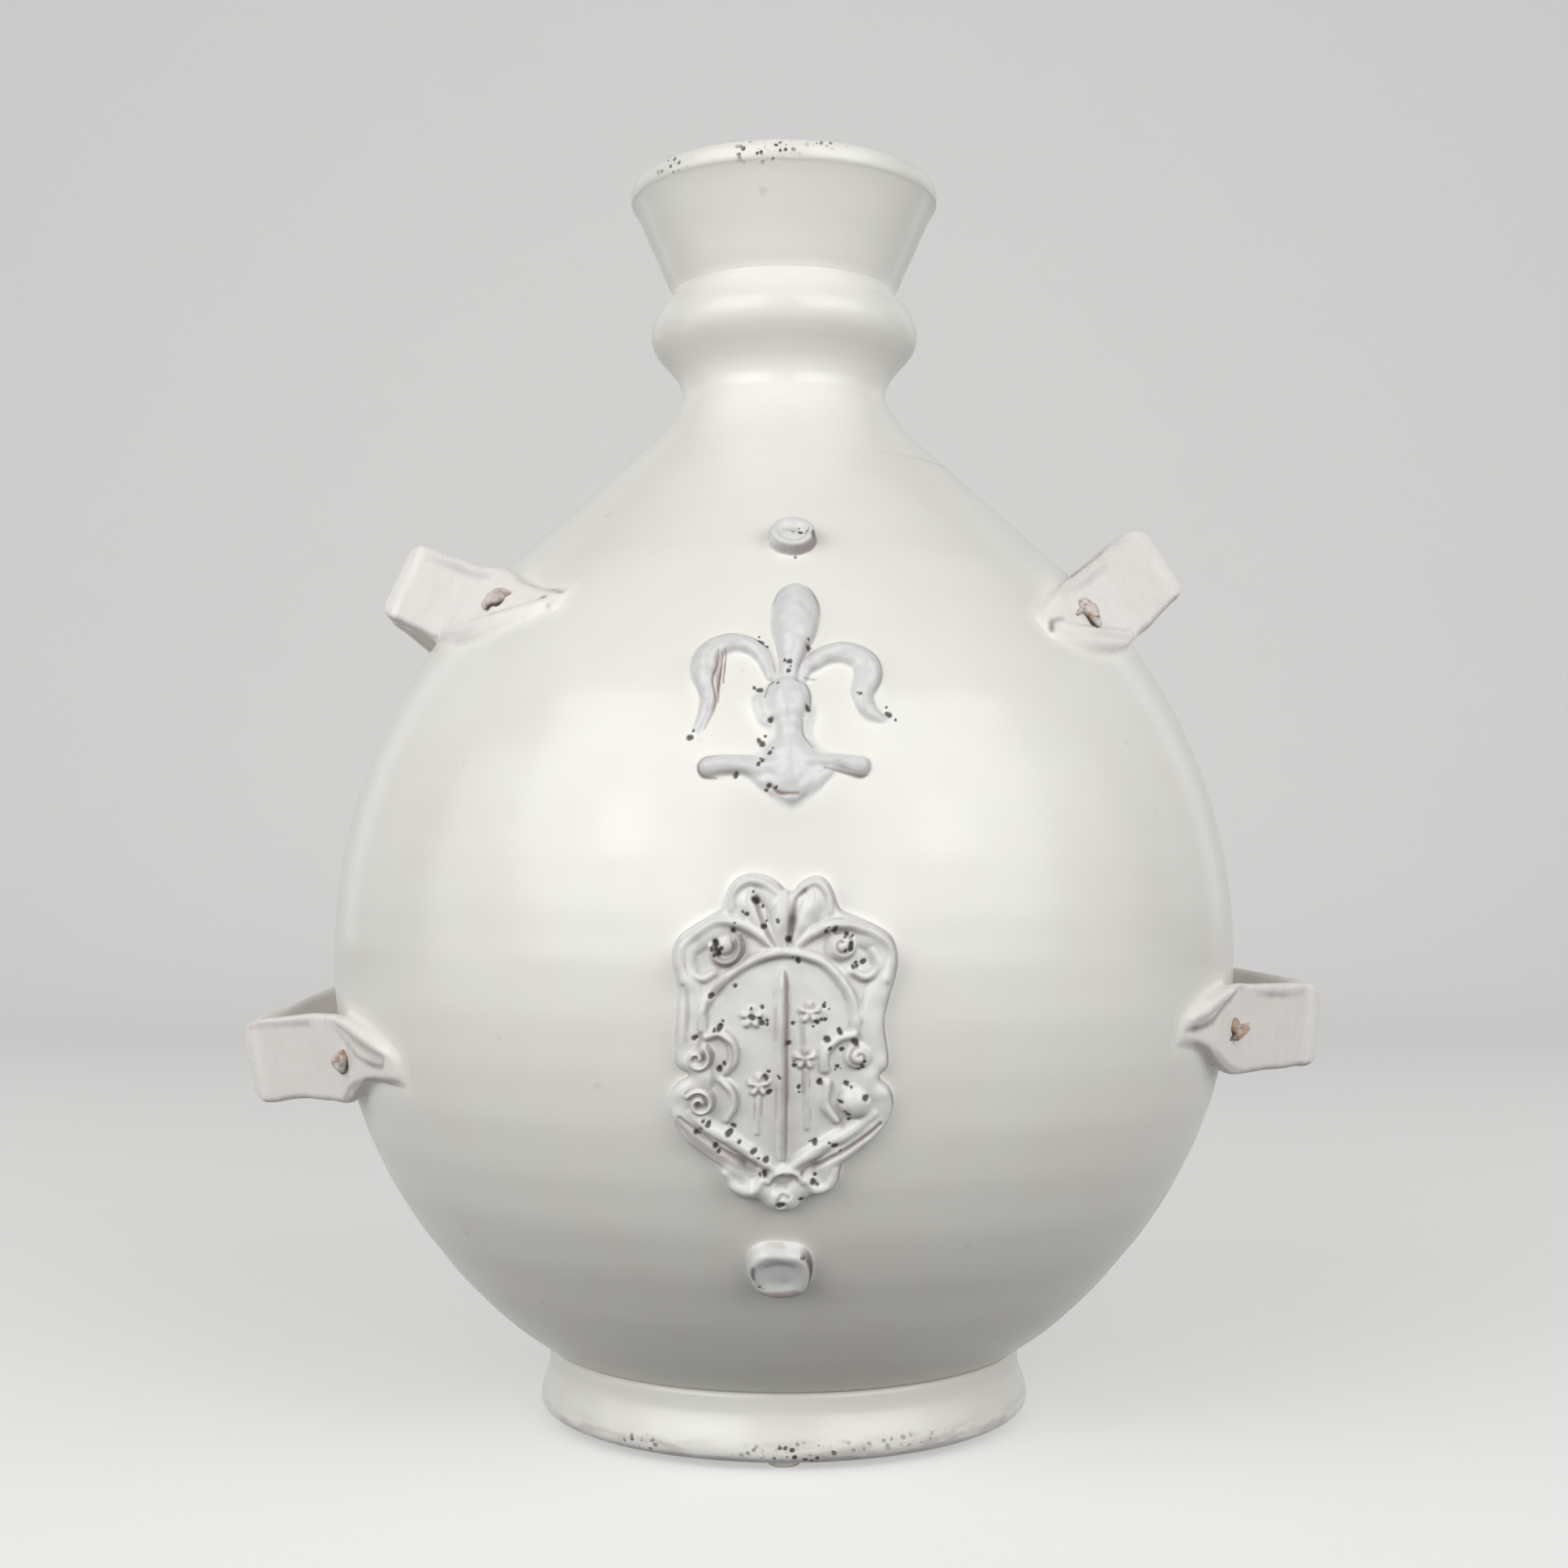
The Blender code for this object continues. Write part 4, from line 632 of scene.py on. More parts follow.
BUTTON_BOTTOM = dict(
    across=-1.0, along=-84.6, radius=8.4, square=2.7, height=4.8, lean=-0.03, rim=0.78, dish=1.0,
    stains=(("pit", 0.75, ((5.6, 6.6, 0.3, 0.4), (7.4, 4.0, 0.5, 0.8), (8.1, -0.6, 0.7, 1.0),
                           (7.0, -5.2, 0.9, 1.0), (3.6, -7.8, 1.0, 1.0), (-2.2, -8.4, 0.8, 1.0),
                           (-6.0, -7.3, 0.5, 0.7))),
            ("edge", 0.7, ((-5.8, -6.0, 1.4, 0.7), (0.0, -6.5, 1.6, 1.0), (4.4, -5.6, 1.5, 0.9))),
            ("crease", 0.35, ((-5.4, -5.6, 1.2, 0.7), (0.0, -6.2, 1.3, 1.0), (4.0, -5.4, 1.2, 0.9))),
            ("edge", 0.45, ((-3.6, 3.4, 1.0, 0.7), (0.0, 4.4, 1.2, 1.0), (3.4, 3.6, 1.0, 0.7))),
            ("pit", 0.8, ((-6.9, 2.6, 0.7, 1.0), (-7.1, 0.4, 0.85, 1.0), (-6.8, -0.8, 0.6, 1.0)))),
    pits=((-5.2, -3.4, 0.25), (6.2, 5.6, 0.25)))
# Each stud's name, node, shape and seed
STUDS = (("stud_top", "button_top", BUTTON_TOP, 71), ("stud_bottom", "button_bottom", BUTTON_BOTTOM, 72))


def make_crest(finish):
    """Press-moulded cartouche of scrolls round a sunk field with a staff and blossoms."""
    sketch = Sketch((-30.5, -66.0), (30.0, 24.0))
    gap = depth_inside(sketch, CREST_OUTLINE)
    lumps = grain(gap.shape, 14.0, 3)
    edge = 1.0 - np.clip(gap / CREST_EDGE, 0.0, 1.0)
    plate = CREST_FLOOR * np.sqrt(1.0 - edge ** 2) + 0.12 * lumps
    roll = np.clip(1.0 - ((gap - CREST_RIM_INSET) / CREST_RIM_WIDTH) ** 2, 0.0, 1.0) ** 0.6
    plate = plate + CREST_RIM_HEIGHT * roll * (1.0 + 0.18 * lumps)
    sketch.height = np.where(gap > 0.0, plate, SKIRT_SLOPE * gap)
    for number, rope in enumerate(CREST_ROPES):
        sketch.body(rope, lump=0.25, seed=20 + number)
    for across, along in CREST_BLOSSOMS:
        for petal in range(5):
            angle = math.radians(90.0 + 72.0 * petal)
            tip = (across + BLOSSOM_REACH * math.cos(angle), along + BLOSSOM_REACH * math.sin(angle))
            sketch.body(((across, along, 0.8, 2.6), (*tip, 1.15, 3.3)), soft=0.3)
        sketch.body(((across, along, 0.8, 3.4), (across + 0.01, along, 0.8, 3.4)), soft=0.2)
    for groove in CREST_GROOVES:
        sketch.groove(groove, strength=0.6)
    for stain in CREST_STAINS:
        sketch.stain(stain)
    sketch.pits(CREST_PITS)
    sketch.finish(0.3)
    sketch.piece("crest_moulding", finish, "crest", "crest_glaze")
    return sketch


def make_relief(name, node, ropes, edges, creases, pits, seed, finish):
    """One modelled piece of the lily."""
    points = np.array([point[:3] for rope in ropes for point in rope])
    reach = points[:, 2].max()
    sketch = Sketch(points[:, :2].min(0) - reach, points[:, :2].max(0) + reach)
    for number, rope in enumerate(ropes):
        sketch.body(rope, soft=2.0, power=0.7, lump=0.4, seed=seed + number, slope=LILY_SLOPE)
    # Edge lines: painted shade, partly thin glaze.
    for edge in edges:
        sketch.stain(edge, "edge", 0.95)
    for crease in creases:
        sketch.groove(crease)
    sketch.pits(pits)
    sketch.finish(0.4, LILY_FILM)
    sketch.piece(name, finish, node, "relief_glaze")
    return sketch


def make_button(name, node, stud, seed, finish):
    """Stud of clay with steep sides, a leaning face and a thumbed dish within its rim."""
    x, y = stud["across"], stud["along"]
    centre = np.array((x, y))
    sketch = Sketch(centre - stud["radius"], centre + stud["radius"])
    across, along = sketch.across - x, sketch.along - y
    away = (np.abs(across) ** stud["square"] + np.abs(along) ** stud["square"]) ** (1.0 / stud["square"])
    turn = np.arctan2(along, across)
    radius = stud["radius"] * (1.0 + 0.025 * np.sin(2.0 * turn + seed) + 0.015 * np.sin(3.0 * turn))
    share = away / radius
    side = np.sqrt(np.clip(1.0 - np.clip((share - 0.76) / 0.24, 0.0, 1.0) ** 2.4, 0.0, 1.0))
    dish = stud["dish"] * smooth((stud["rim"] - share) / 0.45)
    face = stud["height"] + stud["lean"] * along + 0.1 * grain(away.shape, 10.0, seed)
    sketch.height = np.where(share < 1.0, face * side - dish, (1.0 - share) * radius * SKIRT_SLOPE)
    for mark, strength, line in stud["stains"]:
        sketch.stain([(x + point[0], y + point[1], *point[2:]) for point in line], mark, strength)
    sketch.pits([(x + pit[0], y + pit[1], pit[2]) for pit in stud["pits"]])
    sketch.finish(0.3)
    sketch.piece(name, finish, node, "relief_glaze")
    return sketch


def shoulder():
    """Where the globe's arc ends and where the straight shoulder meets the neck."""
    latitude = math.radians(SHOULDER_LATITUDE)
    start = np.array((BODY_RADIUS * math.cos(latitude), BELLY + BODY_UPPER_RISE * math.sin(latitude)))
    along = np.array((-BODY_RADIUS * math.sin(latitude), BODY_UPPER_RISE * math.cos(latitude)))
    along /= np.linalg.norm(along)
    return start, start + along * ((NECK_SEAM_RADIUS - start[0]) / along[0])


def joined(*lines):
    """One profile of several, in order."""
    return np.vstack([np.asarray(line, float) for line in lines])


def smeared(line):
    """The globe's profile with its bottom filled out to the foot ring's seam."""
    along = unit(np.gradient(line, axis=0))
    out = SMEAR * smooth((SMEAR_TOP - line[:, 1]) / (SMEAR_TOP - FOOT_SEAM[1]))
    filled = line + np.stack([-along[:, 1], along[:, 0]], 1) * out[:, None]
    return joined(filled[filled[:, 1] > FOOT_SEAM[1] + 0.4], [FOOT_SEAM])


# Wall marks: speckled places as across, height, half width, half height and strength, and the worn foot
WALL_MARKS = ("halo", "speck", "wear", "tone", "rub", "hollow", "crease", "pit")
LIP_SPECKS = ((-6.0, 394.2, 9.0, 3.2, 1.0), (12.0, 397.0, 6.0, 1.6, 0.7), (-35.0, 394.5, 5.0, 2.4, 0.8))
FOOT_SPECKS = ((3.0, 5.5, 13.0, 2.6, 1.0), (30.0, 7.0, 16.0, 1.8, 0.5), (-42.0, 5.5, 5.0, 2.0, 0.9))
WORN_TOP = 11.0
WORN_FADE = 6.0


def unmarked(points):
    """Marks of a plain wall."""
    return {mark: np.zeros(len(points)) for mark in WALL_MARKS}


def specked(points, specks):
    """Marks of a wall with speckled places on its front."""
    marks = unmarked(points)
    for across, height, wide, tall, strength in specks:
        reach = np.hypot((points[:, 0] - across) / wide, (points[:, 2] - height) / tall)
        marks["speck"] = np.maximum(marks["speck"], strength * smooth(1.6 - reach) * (points[:, 1] < 0.0))
    return marks


def foot_marks(points):
    """Marks of the foot ring, worn towards its stand."""
    marks = specked(points, FOOT_SPECKS)
    marks["wear"] = smooth((WORN_TOP - points[:, 2]) / WORN_FADE)
    return marks


def globe_marks(points, sketches):
    """Marks of the globe, with the pale halo of each relief on its outside."""
    marks = unmarked(points)
    height = points[:, 2] - BELLY
    upward = np.where(height > 0.0, BODY_UPPER_RISE, BODY_LOWER_DEPTH)
    away = np.hypot(points[:, 0], points[:, 1]) / BODY_RADIUS
    latitude = np.arctan2(height / upward, away)
    along = latitude * (BODY_RADIUS + upward) / 2.0
    across = np.arctan2(points[:, 0], -points[:, 1]) * BODY_RADIUS * np.cos(latitude)
    outside = np.hypot(height / upward, away) > 0.97
    for sketch in sketches:
        marks["halo"] = np.maximum(marks["halo"], sketch.halo_at(across, along) * outside)
    return marks


def make_walls(finish, foot_finish, sketches):
    """Mouth, neck, globe and foot ring, each a closed turned piece whose outside runs on in the next."""
    azimuth = columns()
    start, seam = shoulder()
    inner_seam = seam - BODY_WALL * SHOULDER_OUT
    notch = (NOTCH[0] - NOTCH_DEPTH, NOTCH[1])
    bore = spline([tuple(inner_seam), *BORE_LINE], BORE_ROW)
    low, high = bore[bore[:, 1] < NOTCH[1]], bore[bore[:, 1] > NOTCH[1]]
    lip = joined(spline(MOUTH_LINE, FINE_ROW), [notch], high)
    lathe("mouth_wall", lip, azimuth, None, finish, "mouth",
          lambda points: specked(points, LIP_SPECKS))
    flare = spline([*NECK_LINE, tuple(seam), tuple(start)], FINE_ROW)
    neck = joined(flare[flare[:, 1] > seam[1]], [seam], low, [notch])
    lathe("neck_wall", neck, azimuth, None, finish, "neck", unmarked)
    foot_latitude = -math.degrees(math.acos(BODY_SEAM_RADIUS / BODY_RADIUS))
    line = smeared(globe_arc(SHOULDER_LATITUDE, foot_latitude, ROW))
    slope = np.linspace(seam, start, 8)[:-1]
    inner = globe_arc(FLOOR_LATITUDE, SHOULDER_LATITUDE, 4.0 * ROW, BODY_WALL)
    floor = [(radius, BODY_FLOOR) for radius in (6.0, 25.0, 45.0, 60.0)]
    base = [(71.6, BODY_BASE + 0.1), (60.0, BODY_BASE), (30.0, BODY_BASE), (6.0, BODY_BASE)]
    globe = joined(floor, inner, [inner_seam], slope, line, base)
    lathe("body_wall", globe, azimuth, (BODY_FLOOR, BODY_BASE), finish, "body",
          lambda points: globe_marks(points, sketches))
    foot = joined(spline(FOOT_LINE, FINE_ROW), FOOT_TOP)
    lathe("foot_ring_wall", foot, azimuth, None, foot_finish, "foot_ring", foot_marks)


# Strap loops: sizes and steps, in millimetres, and shares of a leg
STRAP_WIDTH = 27.0
STRAP_THICKNESS = 4.6
STRAP_TIP_WIDTH = 7.0
STRAP_TIP_THICKNESS = 2.4
STRAP_TAPER_SHARE = 0.43
STRAP_LIFT_SHARE = 0.20
STRAP_EASING = 3
STRAP_FOLD_LENGTH = 12.5
STRAP_EDGE = 2.0
STRAP_CORNER = 4.6
STRAP_BORDER = 2.0
STRAP_STEP = 0.7
STRAP_FLAT = 40
STRAP_ROUND = 7
STRAP_VOXEL = 0.48
WALL_STEP = 0.6
FILLET_REACH = 8.0
LEG_STEPS = 8
FOLD_STEPS = 6
# Rounds of smoothing: of the whole skin, of its joint with the wall, of the surface that folds are measured
# from, and of the marks
SKIN_ROUNDS = 9
JOINT_ROUNDS = 30
FOLD_ROUNDS = 9
MARK_ROUNDS = 3
# Each loop's side, the fold's latitude, reach out of the wall and tilt, the legs' sag, each tip's latitude
# and turn off the side, the peg's share of the leg and the powers of the taper above and below. Then strokes
# on the outer face as distance from the front tip, place across, radius and height: rolls stand proud,
# grooves are cut, lines and pits are marks alone.
# The dark lines along each strap's lower border, near -13 across, are painted shade.
LOOPS = {
    "upper_left": dict(
        side=-1, fold_latitude=49.5, reach=32.3, tilt=25.0, sag=5.0, front_tip=(41.0, 54.1),
        back_tip=(35.6, 52.0), peg=0.26, taper=(2.6, 1.6),
        rolls=(((6.0, -1.5, 1.6, 0.7), (20.0, -5.5, 2.0, 1.0), (36.0, -9.5, 2.2, 1.0),
                (52.0, -11.5, 2.2, 0.7)),),
        grooves=(((12.0, -1.0, 0.7, 0.6), (24.0, -3.4, 0.8, 0.8), (38.0, -6.6, 0.8, 0.6)),),
        lines=(((42.0, 9.4, 1.4, 0.2), (58.0, 9.8, 1.6, 0.4), (80.0, 10.0, 1.5, 0.35),
                (97.0, 10.0, 1.2, 0.15)),
               ((58.0, -12.4, 0.9, 0.7), (72.0, -13.0, 0.9, 0.9), (88.0, -13.2, 0.9, 0.9),
                (106.0, -13.0, 0.9, 0.7)),
               ((2.0, 2.6, 0.6, 0.8), (10.0, 5.0, 0.6, 0.5), (24.0, 8.6, 0.6, 0.3))),
        pits=(((6.1, 0.2, 1.0, 1.0), (6.6, 0.2, 1.0, 1.0)), ((0.8, 2.2, 0.8, 1.0), (1.8, 2.2, 0.8, 1.0)),
              ((2.6, -3.2, 0.6, 0.7), (3.2, -3.0, 0.6, 0.7)))),
    "upper_right": dict(
        side=1, fold_latitude=53.8, reach=38.2, tilt=33.0, sag=4.0, front_tip=(37.3, 49.0),
        back_tip=(39.8, 50.0), peg=0.25, taper=(0.9, 0.9),
        rolls=(((8.0, -2.0, 1.5, 0.6), (24.0, -6.5, 1.8, 0.9), (44.0, -11.0, 2.0, 0.8)),),
        grooves=(((14.0, -1.8, 0.7, 0.6), (26.0, -4.2, 0.8, 0.7), (40.0, -8.4, 0.8, 0.6)),),
        lines=(((24.0, 9.4, 1.4, 0.2), (44.0, 9.8, 1.6, 0.4), (64.0, 10.0, 1.4, 0.2)),
               ((50.0, -12.6, 0.8, 0.7), (66.0, -13.2, 0.9, 0.9), (88.0, -13.2, 0.9, 0.9),
                (105.0, -12.8, 0.8, 0.7)),
               ((0.5, -2.0, 0.8, 0.9), (3.0, 0.8, 0.9, 1.0), (9.0, 1.2, 0.7, 0.5))),
        pits=(((1.0, -1.6, 0.7, 0.8), (1.6, -0.4, 0.7, 0.8)),)),
    "lower_left": dict(
        side=-1, fold_latitude=-14.4, reach=32.7, tilt=-11.0, sag=-3.0, front_tip=(-12.6, 39.8),
        back_tip=(-6.4, 40.0), peg=0.34, taper=(0.8, 5.5),
        rolls=(((6.0, 5.4, 1.6, 0.7), (14.0, 7.6, 2.0, 1.1), (24.0, 10.4, 2.0, 1.0),
                (34.0, 12.2, 1.6, 0.5)),),
        grooves=(((9.0, 2.8, 1.8, 0.9), (16.0, 3.6, 2.2, 1.2), (24.0, 5.8, 2.0, 1.1), (32.0, 9.2, 1.6, 0.8),
                  (40.0, 11.8, 1.2, 0.4)),),
        lines=(((7.6, 4.2, 0.7, 0.6), (8.4, 1.2, 0.9, 0.9), (14.0, 0.8, 0.9, 0.9), (22.0, 2.4, 0.8, 0.9),
                (28.0, 5.4, 0.7, 0.7), (34.0, 8.6, 0.6, 0.5), (44.0, 12.6, 0.5, 0.3)),
               ((56.0, 10.8, 0.9, 0.7), (66.0, 10.9, 0.8, 0.8), (84.0, 11.2, 0.6, 0.6),
                (104.0, 11.2, 0.5, 0.4)),
               ((2.0, -2.6, 0.8, 0.8), (12.0, -3.8, 0.8, 0.9), (22.0, -4.8, 0.8, 0.9),
                (31.6, -7.6, 0.9, 1.0), (41.0, -12.3, 0.9, 0.9), (56.0, -13.0, 0.9, 0.8),
                (76.0, -12.8, 1.2, 0.7), (102.0, -13.0, 0.8, 0.5))),
        pits=(((10.0, 1.0, 0.6, 0.6), (18.0, 1.4, 0.6, 0.7)),)),
    "lower_right": dict(
        side=1, fold_latitude=-9.8, reach=30.3, tilt=-4.5, sag=0.0, front_tip=(-8.2, 37.8),
        back_tip=(-5.6, 38.0), peg=0.38, taper=(0.8, 3.6),
        rolls=(((4.0, 4.2, 1.6, 0.7), (12.0, 6.8, 2.2, 1.2), (20.0, 10.2, 2.2, 1.2),
                (28.0, 12.2, 1.8, 0.8)),),
        grooves=(((3.0, 1.2, 0.9, 0.6), (9.0, 1.8, 1.3, 1.2), (17.0, 3.4, 1.1, 1.1), (22.0, 6.7, 1.0, 1.0),
                  (27.8, 9.7, 1.0, 0.9), (34.0, 12.0, 0.8, 0.6)),),
        lines=(((2.0, 1.0, 0.9, 0.8), (9.0, 1.5, 1.3, 1.0), (17.0, 3.1, 0.9, 1.0), (22.0, 6.5, 0.8, 0.9),
                (28.0, 9.6, 0.8, 0.9), (33.4, 12.0, 0.7, 0.7), (40.0, 13.0, 0.6, 0.5)),
               ((50.0, 10.6, 0.6, 0.4), (62.0, 10.3, 0.9, 0.9), (76.0, 10.2, 0.8, 0.8),
                (92.0, 10.4, 0.6, 0.4)),
               ((8.0, -3.0, 0.6, 0.4), (22.0, -6.0, 0.7, 0.6), (36.0, -11.2, 0.8, 0.8),
                (60.0, -13.0, 0.9, 0.9), (90.0, -13.0, 0.9, 0.9), (104.0, -12.6, 0.8, 0.6))),
        pits=(((4.0, 1.2, 0.6, 0.7), (8.0, 1.4, 0.8, 0.8)),)),
}


def unit(vectors):
    """Vectors of length 1."""
    return vectors / np.linalg.norm(vectors, axis=-1, keepdims=True)


def wall_place(latitude, azimuth):
    """Point of the true round wall and the direction up it, for angles in degrees."""
    upward = BODY_UPPER_RISE if latitude > 0.0 else BODY_LOWER_DEPTH
    angle, turn = math.radians(latitude), math.radians(azimuth)
    radial = np.array((math.sin(turn), -math.cos(turn), 0.0))
    height = np.array((0.0, 0.0, 1.0))
    up = unit(height * upward * math.cos(angle) - radial * BODY_RADIUS * math.sin(angle))
    return radial * BODY_RADIUS * math.cos(angle) + height * (BELLY + upward * math.sin(angle)), up


def hug(place, lift):
    """Keeps a point outside the globe's wall by at least a lift."""
    height = place[2] - BELLY
    upward = BODY_UPPER_RISE if height > 0.0 else BODY_LOWER_DEPTH
    wall = BODY_RADIUS * math.sqrt(max(1.0 - (height / upward) ** 2, 0.0)) + lift
    away = math.hypot(place[0], place[1])
    if away >= wall:
        return place
    return np.array((place[0] * wall / away, place[1] * wall / away, place[2]))


def loop_line(loop):
    """Centre line of a strap from its front tip round the fold to its back tip, with width directions."""
    side = loop["side"]
    latitude = math.radians(loop["fold_latitude"])
    upward = BODY_UPPER_RISE if latitude > 0.0 else BODY_LOWER_DEPTH
    fold = np.array((side * (BODY_RADIUS * math.cos(latitude) + loop["reach"]), 0.0,
                     BELLY + upward * math.sin(latitude)))
    tilt = math.radians(loop["tilt"])
    fold_up = np.array((-side * math.sin(tilt), 0.0, math.cos(tilt)))
    legs = []
    for end, sign in (("front", 1.0), ("back", -1.0)):
        angle, forward = loop[end + "_tip"]
        tip, tip_up = wall_place(angle, side * (90.0 - sign * forward))
        straight = 1.0 - STRAP_FOLD_LENGTH / np.linalg.norm(fold - tip)
        leg = []
        for step in range(LEG_STEPS + 1):
            share = step / LEG_STEPS
            place = tip + (fold - tip) * straight * share
            place[2] -= loop["sag"] * 4.0 * share * (1.0 - share)
            lift = 0.5 * STRAP_THICKNESS * float(smooth(share / STRAP_LIFT_SHARE))
            leg.append((*hug(place, lift), *unit(tip_up + (fold_up - tip_up) * share), share))
        leg = np.array(leg)
        for _ in range(STRAP_EASING):
            leg[1:-1, :3] = 0.5 * leg[1:-1, :3] + 0.25 * (leg[:-2, :3] + leg[2:, :3])
        legs.append(leg.tolist())
    start, end = np.array(legs[0][-1][:3]), np.array(legs[1][-1][:3])
    corner = 2.0 * fold - 0.5 * (start + end)
    bend = []
    for step in range(1, FOLD_STEPS):
        t = step / FOLD_STEPS
        bend.append((*(start * (1.0 - t) ** 2 + corner * 2.0 * t * (1.0 - t) + end * t * t), *fold_up, 1.0))
    return spline(legs[0] + bend + legs[1][::-1], STRAP_STEP)


def stroke_height(places, strokes):
    """Height of ridges along strokes of (distance, across, radius, height) at many places."""
    total = np.zeros(len(places))
    for stroke in strokes:
        line = spline(stroke, 1.0)
        best = np.zeros(len(places))
        for start, end in zip(line, line[1:]):
            way = end[:2] - start[:2]
            share = np.clip(((places - start[:2]) @ way) / (way @ way), 0.0, 1.0)
            gap = np.hypot(*(places - start[:2] - share[:, None] * way).T)
            radius = start[2] + (end[2] - start[2]) * share
            height = start[3] + (end[3] - start[3]) * share
            best = np.maximum(best, np.maximum(1.0 - (gap / radius) ** 2, 0.0) * height)
        total = np.maximum(total, best)
    return total


def noise_at(points, size, seed):
    """Smooth seeded noise from -1 to 1 in space, with features about a size across."""
    rng = np.random.default_rng(seed)
    table = rng.uniform(-1.0, 1.0, (32, 32, 32))
    place = points / size
    whole = np.floor(place).astype(int)
    part = smooth(place - whole)
    total = np.zeros(len(points))
    for corner in range(8):
        step = np.array((corner & 1, corner >> 1 & 1, corner >> 2 & 1))
        index = (whole + step) % 32
        weight = np.prod(np.where(step == 1, part, 1.0 - part), axis=1)
        total += weight * table[index[:, 0], index[:, 1], index[:, 2]]
    return total


def tube_faces(rows, around):
    """Faces of a tube of rows, closed round them and at both ends."""
    index = np.arange(rows * around).reshape(rows, around)
    right = np.roll(index, -1, axis=1)
    sides = np.stack([index[:-1], right[:-1], right[1:], index[1:]], -1).reshape(-1, 4)
    return sides.tolist() + [index[0, ::-1].tolist(), index[-1].tolist()]


def strap_sizes(loop, place, share):
    """Half widths above and below a strap's centre line, and half depth, at each of its rows."""
    grown = 1.0 - (1.0 - np.clip(share / STRAP_TAPER_SHARE, 0.0, 1.0)) ** 2
    out = loop["side"] * place[:, 0]
    inset = np.clip(STRAP_CORNER - (out.max() - out), 0.0, STRAP_CORNER)
    corner = STRAP_CORNER - np.sqrt(STRAP_CORNER ** 2 - inset ** 2)
    upper, lower = (0.5 * (STRAP_TIP_WIDTH + (STRAP_WIDTH - STRAP_TIP_WIDTH) * grown ** power) - corner
                    for power in loop["taper"])
    half_depth = 0.5 * (STRAP_TIP_THICKNESS + (STRAP_THICKNESS - STRAP_TIP_THICKNESS) * grown ** 0.8)
    return upper, lower, half_depth


def strap_section():
    """One turn round a strap, from -1 to 1: place across, share of the rounded edge and place out."""
    flat, level, rounded = np.linspace(-1.0, 1.0, STRAP_FLAT), np.ones(STRAP_FLAT), np.ones(STRAP_ROUND)
    turn = np.linspace(0.0, math.pi, STRAP_ROUND + 2)[1:-1]
    bulge = np.sin(turn) ** 0.7
    fall = np.sign(np.cos(turn)) * np.abs(np.cos(turn)) ** 0.7
    return (np.r_[flat, rounded, flat[::-1], -rounded], np.r_[0.0 * level, bulge, 0.0 * level, -bulge],
            np.r_[level, fall, -level, -fall])


def strap_loft(loop, seed):
    """Points, faces and wear marks of a strap before it is luted to the wall."""
    line = loop_line(loop)
    place, share = line[:, :3], np.clip(line[:, 6], 0.0, 1.0)
    forward = unit(np.gradient(place, axis=0))
    width = unit(line[:, 3:6] - forward * (line[:, 3:6] * forward).sum(1)[:, None])
    depth = loop["side"] * np.cross(forward, width)
    upper, lower, half_depth = strap_sizes(loop, place, share)
    edge = np.minimum(STRAP_EDGE, 0.6 * np.minimum(upper, lower))
    span, bulge, face = strap_section()
    half_width = np.where(span < 0.0, lower[:, None], upper[:, None])
    across = span * (half_width - edge[:, None]) + bulge * edge[:, None]
    lift = face * half_depth[:, None]
    lengths = np.r_[0.0, np.cumsum(np.linalg.norm(np.diff(place, axis=0), axis=1))]
    spots = np.stack([np.repeat(lengths, len(span)), across.ravel()], -1)
    roll, cut, drawn, holes = (stroke_height(spots, loop[kind]).reshape(across.shape)
                               for kind in ("rolls", "grooves", "lines", "pits"))
    outer = np.clip(face, 0.0, 1.0)
    shown = np.clip(1.0 + face, 0.0, 1.0)
    points = place[:, None, :] + width[:, None, :] * across[:, :, None] + depth[:, None, :] * lift[:, :, None]
    start = points.reshape(-1, 3)
    wave = 0.3 * noise_at(start, 22.0, seed) + 0.04 * noise_at(start, 6.0, seed + 1)
    push = (roll - cut) * outer + wave.reshape(across.shape) * face
    sway = 0.5 * noise_at(start, 14.0, seed + 2).reshape(across.shape) * np.abs(span) ** 4 * np.sign(span)
    points = points + depth[:, None, :] * push[:, :, None]
    points = points + width[:, None, :] * sway[:, :, None]
    seam = smooth(1.0 - np.abs(np.abs(across) - half_width + STRAP_BORDER) / STRAP_BORDER)
    marks = (cut * outer, roll * outer, seam, drawn * shown, holes * shown)
    return points.reshape(-1, 3), tube_faces(*across.shape), np.stack([mark.ravel() for mark in marks], -1)


def wall_coordinates(points):
    """Latitude, azimuth and distance out of the wall for points near it."""
    height = points[:, 2] - BELLY
    upward = np.where(height > 0.0, BODY_UPPER_RISE, BODY_LOWER_DEPTH)
    away = np.hypot(points[:, 0], points[:, 1])
    share = np.hypot(height / upward, away / BODY_RADIUS)
    latitude = np.arctan2(height / upward, away / BODY_RADIUS)
    azimuth = np.arctan2(points[:, 0], -points[:, 1])
    fall = np.hypot(height / upward ** 2, away / BODY_RADIUS ** 2) / share
    rise = (share - 1.0) / fall - throwing(azimuth, points[:, 2])
    return latitude, azimuth, rise


